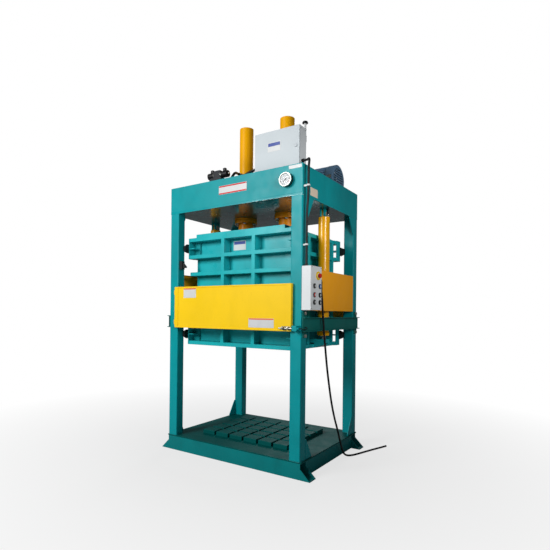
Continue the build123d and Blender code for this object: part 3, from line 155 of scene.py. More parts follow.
class BalerStudio(bpy.types.PropertyGroup):
    eye: FloatVectorProperty(
        name="Camera place",
        description="Where the camera stands",
        subtype="TRANSLATION",
        unit="LENGTH",
        size=3,
        default=(2.811, -4.1815, 1.5235),
    )
    heading: angle("Heading", "Camera's turn to the left", 0.5839)
    tilt: angle("Tilt", "Camera's tilt upwards", 0.0033)
    lean: angle("Lean", "Camera's roll", 0.0099)
    lens: FloatProperty(name="Lens", description="Focal length in mm", default=28.974)
    shift_x: FloatProperty(name="Shift X", description="Sideways shift of the frame", default=0.01235)
    shift_y: FloatProperty(name="Shift Y", description="Upward shift of the frame", default=0.0661)
    key: power("Key lamp", "Power of the large front lamp", 450)
    fill: power("Fill lamp", "Power of the lamp at the right-hand side", 8.5)
    fill_spread: angle("Fill lamp's spread", "Full angle of the fill lamp's beam", 0.9)
    back: power("Back lamp", "Power of the dim lamp behind", 110)
    sky: FloatProperty(name="Room light", description="Strength of the even light of the room", default=0.12)


# Materials

def new_material(name):
    """An empty node material, with its shader joined to its output."""
    material = bpy.data.materials.new(name)
    material.use_nodes = True
    tree = material.node_tree
    tree.nodes.clear()
    output = tree.nodes.new("ShaderNodeOutputMaterial")
    shader = tree.nodes.new("ShaderNodeBsdfPrincipled")
    tree.links.new(shader.outputs["BSDF"], output.inputs["Surface"])
    return material, tree, shader


def pattern(tree, scale, detail=2.0, stretch=(1, 1, 1), offset=(0, 0, 0)):
    """Cloudy noise in the piece's own frame, so many per metre, stretched along an axis where asked."""
    place = tree.nodes.new("ShaderNodeTexCoord")
    mapping = tree.nodes.new("ShaderNodeMapping")
    mapping.inputs["Scale"].default_value = stretch
    mapping.inputs["Location"].default_value = offset
    noise = tree.nodes.new("ShaderNodeTexNoise")
    noise.inputs["Scale"].default_value = scale
    noise.inputs["Detail"].default_value = detail
    tree.links.new(place.outputs["Object"], mapping.inputs["Vector"])
    tree.links.new(mapping.outputs["Vector"], noise.inputs["Vector"])
    return noise.outputs["Fac"]


def ramp(tree, source, band, values=(0, 1)):
    """Stretches a band of a pattern's range to run between two values."""
    remap = tree.nodes.new("ShaderNodeMapRange")
    remap.inputs["From Min"].default_value, remap.inputs["From Max"].default_value = band
    remap.inputs["To Min"].default_value, remap.inputs["To Max"].default_value = values
    tree.links.new(source, remap.inputs["Value"])
    return remap.outputs["Result"]


def blend_colours(tree, factor, first, second):
    """Mixes two colours, each a plain colour or another node's output."""
    mix = tree.nodes.new("ShaderNodeMix")
    mix.data_type = "RGBA"
    tree.links.new(factor, mix.inputs["Factor"])
    for socket, value in ((mix.inputs[6], first), (mix.inputs[7], second)):
        if isinstance(value, bpy.types.NodeSocket):
            tree.links.new(value, socket)
        else:
            socket.default_value = (*value, 1)
    return mix.outputs[2]


def mix_shaders(tree, factor, first, second):
    """Mixes two shaders by another node's output."""
    mix = tree.nodes.new("ShaderNodeMixShader")
    for source, socket in zip((factor, first, second), mix.inputs):
        tree.links.new(source, socket)
    return mix.outputs[0]


def raise_surface(tree, shader, height, strength, distance):
    """Turns a pattern into relief."""
    bump = tree.nodes.new("ShaderNodeBump")
    bump.inputs["Strength"].default_value = strength
    bump.inputs["Distance"].default_value = distance
    tree.links.new(height, bump.inputs["Height"])
    tree.links.new(bump.outputs["Normal"], shader.inputs["Normal"])


def shade(base, factor):
    """A darker or lighter tone of a colour."""
    return tuple(min(1.0, channel * factor) for channel in base)


def painted(name, base, roughness=0.38, cloud=0.08, gloss=0.16, peel=0.12, soil=None):
    """Sprayed enamel: faint clouds, uneven gloss, orange peel and, where asked, rubbed or dusty patches."""
    material, tree, shader = new_material(name)
    clouds = ramp(tree, pattern(tree, scale=2.2, detail=3), band=(0.35, 0.65))
    surface = blend_colours(tree, clouds, shade(base, 1 - cloud), shade(base, 1 + cloud))
    fine = pattern(tree, scale=55, detail=5, offset=(3, 1, 7))
    specks = ramp(tree, fine, band=(0.60, 0.74), values=(0, 0.35))
    surface = blend_colours(tree, specks, surface, shade(base, 0.8))
    if soil is not None:
        drifts = pattern(tree, scale=7, detail=6, stretch=(1, 1, 0.45), offset=(5, 2, 0))
        patches = ramp(tree, drifts, band=(0.55, 0.75), values=(0, 0.45))
        surface = blend_colours(tree, patches, surface, soil)
    tree.links.new(surface, shader.inputs["Base Color"])
    haze = pattern(tree, scale=9, detail=4, offset=(1, 4, 2))
    uneven = ramp(tree, haze, band=(0.3, 0.7), values=(roughness - 0.06, roughness + 0.10))
    tree.links.new(uneven, shader.inputs["Roughness"])
    shader.inputs["Specular IOR Level"].default_value = gloss
    raise_surface(tree, shader, pattern(tree, scale=420), strength=peel, distance=0.4 * MM)
    return material


def plated(name, base, roughness=0.28, grain=(1, 1, 1), wear=0.25, metallic=1.0):
    """Bare or plated metal with fine grain and cloudy oxide; dull plating is less metallic."""
    material, tree, shader = new_material(name)
    clouds = ramp(tree, pattern(tree, scale=30, detail=5), band=(0.35, 0.70))
    surface = blend_colours(tree, clouds, base, shade(base, 1 - wear))
    tree.links.new(surface, shader.inputs["Base Color"])
    lines = pattern(tree, scale=240, detail=3, stretch=grain)
    uneven = ramp(tree, lines, band=(0.3, 0.7), values=(roughness - 0.08, roughness + 0.12))
    tree.links.new(uneven, shader.inputs["Roughness"])
    shader.inputs["Metallic"].default_value = metallic
    raise_surface(tree, shader, lines, strength=0.10, distance=0.2 * MM)
    return material


def moulded(name, base, roughness=0.42, grain=320, relief=0.15):
    """Moulded plastic or rubber with a fine spark grain and faint bloom."""
    material, tree, shader = new_material(name)
    bloom = ramp(tree, pattern(tree, scale=14, detail=4), band=(0.45, 0.75))
    surface = blend_colours(tree, bloom, base, tuple(0.9 * channel + 0.004 for channel in base))
    tree.links.new(surface, shader.inputs["Base Color"])
    haze = pattern(tree, scale=40, detail=3)
    uneven = ramp(tree, haze, band=(0.3, 0.7), values=(roughness - 0.05, roughness + 0.08))
    tree.links.new(uneven, shader.inputs["Roughness"])
    shader.inputs["Specular IOR Level"].default_value = 0.3
    raise_surface(tree, shader, pattern(tree, scale=grain), strength=relief, distance=0.3 * MM)
    return material


# Modelling helpers

def leave_editing():
    """Returns to object mode with nothing selected."""
    if bpy.context.object and bpy.context.object.mode != "OBJECT":
        bpy.ops.object.mode_set(mode="OBJECT")
    bpy.ops.object.select_all(action="DESELECT")


def select_only(*pieces):
    """Selects these pieces and nothing else, the first of them active."""
    leave_editing()
    for piece in pieces:
        piece.select_set(True)
    bpy.context.view_layer.objects.active = pieces[0]


def settle(piece, body, material, smooth=35):
    """Fixes a finished piece's place in its mesh, gives it its finish and lets it ride."""
    select_only(piece)
    bpy.ops.object.transform_apply(location=True, rotation=True, scale=True)
    bpy.ops.object.shade_smooth_by_angle(angle=math.radians(smooth))
    piece.data.materials.clear()
    piece.data.materials.append(material)
    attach(piece, body)
    return piece


def round_node(node, radius):
    """Rounds a node's hard edges, once its loose triangles are joined and its flat faces are whole."""
    joined = node.modifiers.new("Join corners", "WELD")
    joined.merge_threshold = MERGE_GAP
    flat = node.modifiers.new("Flat faces", "DECIMATE")
    flat.decimate_type = "DISSOLVE"
    flat.angle_limit = math.radians(0.5)
    edge = node.modifiers.new("Rounded edges", "BEVEL")
    edge.width = radius
    edge.segments = 2
    edge.limit_method = "ANGLE"
    edge.angle_limit = math.radians(40)
    edge.harden_normals = True


def finish(material, *names, rounding=0.0):
    """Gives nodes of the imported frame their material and, where asked, rounds their hard edges."""
    for name in names:
        for slot in nodes[name].material_slots:
            slot.material = material
        if rounding:
            round_node(nodes[name], rounding)


def in_mm(box):
    """A box's two corners in mm."""
    low, high = box
    return low / MM, high / MM


def begin_block(name, low, high):
    """Adds a cube between two corners, in mm, and opens it for editing."""
    leave_editing()
    low, high = MM * Vector(low), MM * Vector(high)
    bpy.ops.mesh.primitive_cube_add(size=1, location=(low + high) / 2, scale=high - low)
    piece = bpy.context.object
    piece.name = name
    bpy.ops.object.transform_apply(location=True, rotation=True, scale=True)
    bpy.ops.object.mode_set(mode="EDIT")
    return piece


def begin_rounded(name, low, high, along, radius, steps=3):
    """Begins a block and rounds its edges that run along a direction."""
    piece = begin_block(name, low, high)
    pick_edges(piece, along)
    round_edges(radius, steps)
    return piece


def pick_faces(piece, facing):
    """Selects the faces that look along a direction."""
    bpy.ops.mesh.select_mode(type="FACE")
    bpy.ops.mesh.select_all(action="DESELECT")
    mesh = bmesh.from_edit_mesh(piece.data)
    for face in mesh.faces:
        face.select_set(face.normal.dot(facing) > 0.9)
    bmesh.update_edit_mesh(piece.data)


def pick_edges(piece, along):
    """Selects the straight edges that run along a direction."""
    bpy.ops.mesh.select_mode(type="EDGE")
    bpy.ops.mesh.select_all(action="DESELECT")
    mesh = bmesh.from_edit_mesh(piece.data)
    for edge in mesh.edges:
        run = edge.verts[1].co - edge.verts[0].co
        edge.select_set(run.length > 0 and abs(run.normalized().dot(along)) > 0.99)
    bmesh.update_edit_mesh(piece.data)


def round_edges(radius, steps=3):
    """Rounds the selected edges."""
    bpy.ops.mesh.bevel(offset=radius * MM, segments=steps, affect="EDGES")


def step_faces(facing, inset, push):
    """Insets the selected faces and draws them in or out along a direction."""
    if inset:
        bpy.ops.mesh.inset(thickness=inset * MM)
    if push:
        bpy.ops.mesh.extrude_region_move(TRANSFORM_OT_translate={"value": facing * push * MM})


def cut_window(piece, facing, rim):
    """Cuts a window through a flat block, with a rim left around it."""
    for side in (facing, -facing):
        pick_faces(piece, side)
        bpy.ops.mesh.inset(thickness=rim * MM)
    bpy.ops.mesh.select_all(action="DESELECT")
    mesh = bmesh.from_edit_mesh(piece.data)
    corners = [vertex.co for vertex in mesh.verts]
    middle = sum(corners, Vector()) / len(corners)
    for face in mesh.faces:
        offset = face.calc_center_median() - middle
        beside = offset - offset.dot(facing) * facing
        face.select_set(abs(face.normal.dot(facing)) > 0.9 and beside.length < 0.1 * MM)
    bmesh.update_edit_mesh(piece.data)
    bpy.ops.mesh.bridge_edge_loops()


def plate(name, low, high, facing, corner=4, rim=0.0):
    """A thin plate with rounded corners, a softened front edge and, where asked, a raised rim."""
    piece = begin_rounded(name, low, high, facing, corner)
    pick_faces(piece, facing)
    step_faces(facing, inset=0.4, push=0.3)
    if rim:
        step_faces(facing, inset=rim, push=-0.5)
    return piece


def turned(name, centre, axis, stations, sides=32, hollow=False):
    """A round piece, drawn out through (radius, height) stations along its axis, in mm.

    A hollow one is a closed ring: its last station joins its first.
    """
    leave_editing()
    centre, axis = MM * Vector(centre), Vector(axis).normalized()
    radius, height = stations[0]
    bpy.ops.mesh.primitive_circle_add(
        vertices=sides,
        radius=radius * MM,
        fill_type="NOTHING" if hollow else "NGON",
        location=centre + axis * height * MM,
        rotation=axis.to_track_quat("Z", "Y").to_euler(),
    )
    piece = bpy.context.object
    piece.name = name
    bpy.ops.object.transform_apply(location=True, rotation=True, scale=True)
    bpy.ops.object.mode_set(mode="EDIT")
    bpy.ops.mesh.select_mode(type="VERT")
    bpy.ops.mesh.select_all(action="SELECT")
    for next_radius, next_height in (*stations[1:], *(stations[:1] if hollow else ())):
        lift = axis * (next_height - height) * MM
        bpy.ops.mesh.extrude_region_move(TRANSFORM_OT_translate={"value": lift})
        factor = next_radius / radius
        if factor != 1:
            level = centre + axis * next_height * MM
            bpy.ops.transform.resize(value=(factor, factor, factor), center_override=level)
        radius, height = next_radius, next_height
    bpy.ops.mesh.select_all(action="SELECT")
    if hollow:
        bpy.ops.mesh.remove_doubles(threshold=MERGE_GAP)
    bpy.ops.mesh.normals_make_consistent(inside=False)
    bpy.ops.object.mode_set(mode="OBJECT")
    return piece


def join(name, pieces):
    """Joins like pieces into one."""
    select_only(*pieces)
    if len(pieces) > 1:
        bpy.ops.object.join()
    pieces[0].name = name
    return pieces[0]


def with_copies(piece, steps):
    """The piece and its copies, each a step in mm away from the piece itself, joined into one."""
    made = [piece]
    for step in steps:
        select_only(piece)
        bpy.ops.object.duplicate_move(TRANSFORM_OT_translate={"value": MM * Vector(step)})
        made.append(bpy.context.object)
    return join(piece.name, made)


def corner_steps(across, up):
    """The steps from one corner of a rectangle to its other three."""
    return across, up, [first + second for first, second in zip(across, up)]


def screw_head(name, centre, axis, radius=5.0, height=2.6):
    """A domed screw head with a socket."""
    stations = [(radius, 0), (radius, 0.5 * height), (0.86 * radius, 0.8 * height), (0.6 * radius, height)]
    stations += [(0.42 * radius, height), (0.4 * radius, 0.45 * height)]
    return turned(name, centre, axis, stations, sides=18)


def hex_nut(name, centre, axis, radius, height):
    """A six-sided nut with its corners turned off at both ends."""
    body = [(0.93 * radius, 0), (radius, 0.14 * height), (radius, 0.86 * height), (0.93 * radius, height)]
    return turned(name, centre, axis, body, sides=6)


def weld_bead(name, start, end, radius, pitch):
    """A run of weld from start to end, in mm: one ripple, modelled once and repeated along the run."""
    start, end = Vector(start), Vector(end)
    along = (end - start).normalized()
    start, end = start + 1.5 * radius * along, end - 1.5 * radius * along
    count = max(2, round((end - start).length / pitch))
    gap = (end - start).length / count
    ripple = [(0.82 * radius, 0), (radius, 0.45 * gap), (0.82 * radius, gap)]
    bead = turned(name, start, along, ripple, sides=6)
    repeat = bead.modifiers.new("Ripples", "ARRAY")
    repeat.use_relative_offset = False
    repeat.use_constant_offset = True
    repeat.constant_offset_displace = along * gap * MM
    repeat.count = count
    repeat.use_merge_vertices = True
    repeat.merge_threshold = 0.05 * MM
    bpy.ops.object.modifier_apply(modifier=repeat.name)
    return bead


class BalerOperator(bpy.types.Operator):
    """Shared by the operators that dress the baler."""

    bl_options = {"REGISTER", "UNDO"}


class BALER_OT_studio(BalerOperator):
    """Set the pale floor, the soft lamps, the room light and the camera"""

    bl_idname = "baler.studio"
    bl_label = "Studio"

    floor_radius = 14
    paper_tints = (tint(186, 187, 188), tint(190, 190, 190))
    # The camera sees the floor fade to white over these distances from the machine's middle
    fade_band = (1.2, 4.6)
    fade_values = (0.72, 1)
    sky_tint = (0.93, 0.97, 1, 1)
    film_width = 36

    def execute(self, context):
        studio = context.scene.baler_studio
        context.scene.view_settings.view_transform = "Standard"
        self.lay_floor()
        self.light_room(studio)
        self.hang_lamp("key_lamp", place=(-2.2, -6.7, 4.3), target=(0, 0, 2.0), size=3.2, watts=studio.key)
        fill = self.hang_lamp(
            "fill_lamp", place=(4.0, -2.2, 3.0), target=(0.7, -0.1, 2.35), size=1.4, watts=studio.fill
        )
        fill.spread = studio.fill_spread
        self.hang_lamp("back_lamp", place=(-2.5, 6.2, 5.0), target=(0, 0, 2.2), size=3.0, watts=studio.back)
        self.place_camera(studio)
        return {"FINISHED"}

    def lay_floor(self):
        """A paper floor that keeps the machine's shadow and, to the camera, fades to white."""
        leave_editing()
        bpy.ops.mesh.primitive_circle_add(
            vertices=96, radius=self.floor_radius, fill_type="NGON", location=(0, 0, 0)
        )
        floor = bpy.context.object
        floor.name = "studio_floor"
        material, tree, shader = new_material("studio_floor")
        clouds = ramp(tree, pattern(tree, scale=0.8), band=(0.3, 0.7))
        tree.links.new(blend_colours(tree, clouds, *self.paper_tints), shader.inputs["Base Color"])
        shader.inputs["Roughness"].default_value = 0.9
        shader.inputs["Specular IOR Level"].default_value = 0.05
        glow = tree.nodes.new("ShaderNodeEmission")
        glow.inputs["Color"].default_value = (1, 1, 1, 1)
        place = tree.nodes.new("ShaderNodeTexCoord")
        reach = tree.nodes.new("ShaderNodeVectorMath")
        reach.operation = "LENGTH"
        tree.links.new(place.outputs["Object"], reach.inputs[0])
        fade = ramp(tree, reach.outputs["Value"], self.fade_band, self.fade_values)
        path = tree.nodes.new("ShaderNodeLightPath")
        share = tree.nodes.new("ShaderNodeMath")
        share.operation = "MULTIPLY"
        tree.links.new(fade, share.inputs[0])
        tree.links.new(path.outputs["Is Camera Ray"], share.inputs[1])
        mixed = mix_shaders(tree, share.outputs[0], shader.outputs[0], glow.outputs[0])
        output = next(node for node in tree.nodes if node.type == "OUTPUT_MATERIAL")
        tree.links.new(mixed, output.inputs["Surface"])
        floor.data.materials.append(material)

    def light_room(self, studio):
        """An even, faint room light, and a white backdrop that only the camera sees."""
        world = bpy.data.worlds.new("pale_room")
        world.use_nodes = True
        tree = world.node_tree
        tree.nodes.clear()
        output = tree.nodes.new("ShaderNodeOutputWorld")
        backdrop = tree.nodes.new("ShaderNodeBackground")
        backdrop.inputs["Color"].default_value = (1, 1, 1, 1)
        room = tree.nodes.new("ShaderNodeBackground")
        room.inputs["Color"].default_value = self.sky_tint
        room.inputs["Strength"].default_value = studio.sky
        path = tree.nodes.new("ShaderNodeLightPath")
        mixed = mix_shaders(tree, path.outputs["Is Camera Ray"], room.outputs[0], backdrop.outputs[0])
        tree.links.new(mixed, output.inputs["Surface"])
        bpy.context.scene.world = world

    def hang_lamp(self, name, place, target, size, watts):
        """A round soft lamp that shines from its place towards a target."""
        leave_editing()
        aim = (Vector(target) - Vector(place)).to_track_quat("-Z", "Y")
        bpy.ops.object.light_add(type="AREA", location=place, rotation=aim.to_euler())
        bpy.context.object.name = name
        lamp = bpy.context.object.data
        lamp.shape = "DISK"
        lamp.size = size
        lamp.energy = watts
        lamp.spread = math.pi
        return lamp

    def place_camera(self, studio):
        """The camera where the photographer stood, level but for a slight tilt and roll."""
        leave_editing()
        bpy.ops.object.camera_add(location=studio.eye)
        camera = bpy.context.object
        camera.name = "photo_camera"
        heading = Matrix.Rotation(studio.heading, 4, "Z")
        nod = Matrix.Rotation(math.radians(90) + studio.tilt, 4, "X")
        roll = Matrix.Rotation(studio.lean, 4, "Z")
        camera.matrix_world = Matrix.Translation(studio.eye) @ heading @ nod @ roll
        camera.data.sensor_width = self.film_width
        camera.data.lens = studio.lens
        camera.data.shift_x = studio.shift_x
        camera.data.shift_y = studio.shift_y
        bpy.context.scene.camera = camera


class BALER_OT_supply_cable(BalerOperator):
    """Hang the supply cable from the control box down to the floor"""

    bl_idname = "baler.supply_cable"
    bl_label = "Supply cable"

    diameter = 20 * MM
    visible_length = 2.55
    exit_place = (0.889, -0.364, 1.806)
    # From inside the elbow gland down to the cut end on the floor, in mm
    route = (
        (889, -364, 1826),
        (889, -364, 1806),
        (890, -354, 1752),
        (892, -338, 1665),
        (894, -324, 1535),
        (895, -302, 1365),
        (896, -266, 1185),
        (895, -226, 1000),
        (896, -176, 815),
        (895, -117, 632),
        (895, -42, 462),
        (894, 46, 312),
        (893, 104, 196),
        (894, 150, 104),
        (901, 188, 38),
        (925, 226, 12),
        (962, 278, 10),
        (996, 366, 10),
        (1034, 485, 10),
        (1080, 620, 10),
        (1119, 722, 10),
        (1149, 812, 10),
    )

    def execute(self, context):
        line = bpy.data.curves.new("supply_cable_line", "CURVE")
        line.dimensions = "3D"
        line.bevel_depth = self.diameter / 2
        line.bevel_resolution = 5
        line.use_fill_caps = True
        spline = line.splines.new("NURBS")
        spline.points.add(len(self.route) - 1)
        for point, place in zip(spline.points, self.route):
            point.co = (*(MM * value for value in place), 1)
        spline.order_u = 3
        spline.use_endpoint_u = True
        spline.resolution_u = 8
        cable = bpy.data.objects.new("mains_cable", line)
        context.scene.collection.objects.link(cable)
        rubber = context.scene.baler_colours.rubber
        line.materials.append(moulded("cable_jacket", rubber, roughness=0.5, grain=260, relief=0.2))
        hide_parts("supply_cable")
        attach(cable, "frame")
        return {"FINISHED"}


class BALER_OT_steelwork(BalerOperator):
    """Paint the welded frame, the base and the chamber, and round their edges"""

    bl_idname = "baler.steelwork"
    bl_label = "Steelwork"

    frame_nodes = (
        "leg_front_left",
        "leg_front_right",
        "leg_rear_left",
        "leg_rear_right",
        "corner_gussets",
        "crosshead_walls",
        "crosshead_webs",
        "lift_brackets",
        "latch_keeper",
        "oil_tank",
    )
    chamber_nodes = (
        "chamber_front_panel",
        "chamber_rear_panel",
        "chamber_left_panel",
        "chamber_right_panel",
        "platen",
    )

    def execute(self, context):
        colours = context.scene.baler_colours
        rounding = context.scene.baler_trim.edge_round
        teal, base, deck = colours.teal, colours.deep_teal, colours.deck_green
        beam, chamber = colours.beam_green, colours.chamber_teal
        enamel = painted("teal_enamel", teal, soil=shade(teal, 0.80))
        base_enamel = painted("base_enamel", base, roughness=0.42, soil=shade(base, 0.7))
        # The deck's darker green is painted shade under the chamber
        deck_shade_enamel = painted(
            "deck_shade_enamel", deck, roughness=0.5, cloud=0.1, gloss=0.08, soil=shade(deck, 0.55)
        )
        # The side beams' darker green is painted shade
        beam_shade_enamel = painted("beam_shade_enamel", beam, roughness=0.4, soil=shade(beam, 0.7))
        # The chamber's lighter teal is a painted sheen
        chamber_sheen_enamel = painted(
            "chamber_sheen_enamel", chamber, roughness=0.3, gloss=0.22, soil=shade(chamber, 0.84)
        )
        finish(enamel, *self.frame_nodes, rounding=rounding)
        finish(self.glossy_underside(colours), "crosshead_floor", rounding=rounding)
        finish(base_enamel, "base_beams", rounding=rounding)
        finish(deck_shade_enamel, "deck_plate", "bale_blocks", rounding=rounding)
        finish(beam_shade_enamel, "mid_beams", rounding=rounding)
        finish(chamber_sheen_enamel, *self.chamber_nodes, rounding=rounding)
        return {"FINISHED"}

    def glossy_underside(self, colours):
        """Teal enamel on the crosshead floor's edges, and underneath a dark glossy coat whose dark tone is
        painted shade under the crosshead.
        """
        material = painted("underside_shade_enamel", colours.teal, roughness=0.3)
        tree = material.node_tree
        shader = tree.nodes["Principled BSDF"]
        place = tree.nodes.new("ShaderNodeTexCoord")
        parts = tree.nodes.new("ShaderNodeSeparateXYZ")
        tree.links.new(place.outputs["Object"], parts.inputs[0])
        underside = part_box("crosshead_floor")[0].z
        just_above = (underside + 0.5 * MM, underside + 2 * MM)
        below = ramp(tree, parts.outputs["Z"], just_above, values=(1, 0))
        above = shader.inputs["Base Color"].links[0].from_socket
        # Painted shade: the underside is darkened where the crosshead shades it
        dark = shade(colours.deep_teal, 0.5)
        tree.links.new(blend_colours(tree, below, above, dark), shader.inputs["Base Color"])
        tree.links.new(below, shader.inputs["Coat Weight"])
        shader.inputs["Coat Roughness"].default_value = 0.12
        shader.inputs["Coat IOR"].default_value = 1.9
        return material


class BALER_OT_guards(BalerOperator):
    """Powder coat the loading gate and the fixed guards"""

    bl_idname = "baler.guards"
    bl_label = "Gate and guards"

    def execute(self, context):
        colours = context.scene.baler_colours
        rounding = context.scene.baler_trim.sheet_round
        yellow, deep = colours.yellow, colours.guard_yellow
        coat = painted("yellow_powder_coat", yellow, roughness=0.4, cloud=0.03, soil=shade(yellow, 0.9))
        # The guards' deeper orange-yellow is painted shade
        guard_shade_coat = painted("guard_shade_powder_coat", deep, roughness=0.4, cloud=0.03, soil=shade(deep, 0.9))
        finish(coat, "gate_panel", rounding=rounding)
        finish(painted("hinge_enamel", colours.teal), "gate_hinges", rounding=rounding)
        finish(guard_shade_coat, "fixed_guards", rounding=rounding)
        return {"FINISHED"}


class BALER_OT_cylinders(BalerOperator):
    """Paint the cylinders and polish their rods"""

    bl_idname = "baler.cylinders"
    bl_label = "Cylinders"

    def execute(self, context):
        colours = context.scene.baler_colours
        yellow, orange = colours.ram_yellow, colours.gland_orange
        enamel = painted("cylinder_enamel", yellow, roughness=0.34, cloud=0.05, gloss=0.14)
        lift_enamel = painted("lift_enamel", yellow, roughness=0.2, cloud=0.05, gloss=0.45)
        # The glands' deeper orange is painted shade under the crosshead
        gland_shade_enamel = painted("gland_shade_enamel", orange, roughness=0.34, gloss=0.25)
        chrome = plated("hard_chrome", colours.chrome, roughness=0.14, grain=(1, 1, 12), wear=0.06)
        finish(enamel, "ram_tubes")
        finish(lift_enamel, "lift_tubes")
        finish(gland_shade_enamel, "ram_glands")
        finish(chrome, "ram_rods", "lift_rods")
        return {"FINISHED"}


def sheet_coat(name, base):
    """Powder coat of the electrical sheet metal, with a coarse orange peel."""
    return painted(name, base, roughness=0.45, cloud=0.02, gloss=0.2, peel=0.3)


class BALER_OT_electrics(BalerOperator):
    """Finish the cabinet, the control box, the buttons, the sensor and the conduit"""

    bl_idname = "baler.electrics"
    bl_label = "Electrics"

    shell_nodes = ("cabinet_shell", "cabinet_posts", "control_box", "control_cover")
    black_nodes = (
        "position_sensor",
        "signal_mast",
        "cable_glands",
        "pressure_gauge",
        "gauge_needle",
        "push_button_1",
        "push_button_4",
        "push_button_5",
        "push_button_6",
    )

    def execute(self, context):
        colours = context.scene.baler_colours
        rounding = context.scene.baler_trim.sheet_round
        door_coat = sheet_coat("door_powder_coat", colours.door_grey)
        finish(door_coat, "cabinet_door", rounding=rounding)
        finish(door_coat, "door_lock")
        # The shell's lighter grey is painted light on its shaded sides
        finish(sheet_coat("shell_lit_powder_coat", colours.cabinet_grey), *self.shell_nodes, rounding=rounding)
        finish(moulded("black_plastic", colours.plastic), *self.black_nodes)
        finish(moulded("conduit_rubber", colours.rubber, roughness=0.5), "control_conduit")
        finish(moulded("white_plastic", colours.white, roughness=0.35), "conduit_clips")
        finish(moulded("red_plastic", colours.red, roughness=0.3), "push_button_3", "emergency_stop")
        finish(moulded("blue_plastic", colours.blue, roughness=0.3), "push_button_2")
        return {"FINISHED"}


class BALER_OT_hydraulics(BalerOperator):
    """Finish the pump set, the valves, the hoses and the plated hardware"""

    bl_idname = "baler.hydraulics"
    bl_label = "Hydraulics"

    def execute(self, context):
        colours = context.scene.baler_colours
        rounding = context.scene.baler_trim.sheet_round
        enamel = painted("motor_enamel", colours.motor_blue, roughness=0.45)
        valve_paint = painted("valve_paint", colours.valve_grey, roughness=0.35)
        zinc = plated("zinc_plate", colours.zinc, roughness=0.34)
        dull_zinc = plated("dull_zinc", colours.zinc, roughness=0.45, metallic=0.5)
        steel = plated("oiled_steel", shade(colours.zinc, 0.35), roughness=0.4)
        coil_plastic = moulded("coil_plastic", colours.plastic, roughness=0.4)
        hose_rubber = moulded("hose_rubber", colours.rubber, roughness=0.46, grain=200, relief=0.3)
        nylon = moulded("shoe_nylon", shade(colours.plastic, 1.6), roughness=0.5)
        finish(enamel, "pump_motor", "fan_cowl", rounding=rounding)
        finish(valve_paint, "valve_block", rounding=rounding)
        finish(zinc, "latch_bolt")
        finish(dull_zinc, "hex_bolts", "lift_pins")
        finish(steel, "motor_rotor")
        finish(steel, "oil_pump", rounding=rounding)
        finish(coil_plastic, "valve_solenoids")
        finish(hose_rubber, "hydraulic_hoses")
        finish(nylon, "guide_shoes", rounding=rounding)
        return {"FINISHED"}


class BALER_OT_strain_relief(BalerOperator):
    """Fit the tapered rubber sleeve where the supply cable leaves its elbow"""

    bl_idname = "baler.strain_relief"
    bl_label = "Strain relief"

    root = (889, -364, 1806)
    direction = (1, 10, -54)
    sleeve_length = 56
    root_radius = 16.0
    tip_radius = 12.4
    grooves = 6
    # A groove's outline: heights from its middle, and depths
    groove_outline = ((-1.6, 0), (-1.2, 1.2), (0.6, 1.2), (1.0, 0))

    def execute(self, context):
        stations = [(self.root_radius, 0)]
        for groove in range(self.grooves):
            share = (groove + 0.5) / self.grooves
            radius = self.root_radius + share * (self.tip_radius - self.root_radius)
            height = share * self.sleeve_length
            stations += [(radius - depth, height + rise) for rise, depth in self.groove_outline]
        stations.append((self.tip_radius, self.sleeve_length))
        sleeve = turned("cable_sleeve", self.root, self.direction, stations, sides=28)
        rubber = moulded("sleeve_rubber", context.scene.baler_colours.rubber, roughness=0.55)
        settle(sleeve, "frame", rubber, smooth=50)
        return {"FINISHED"}


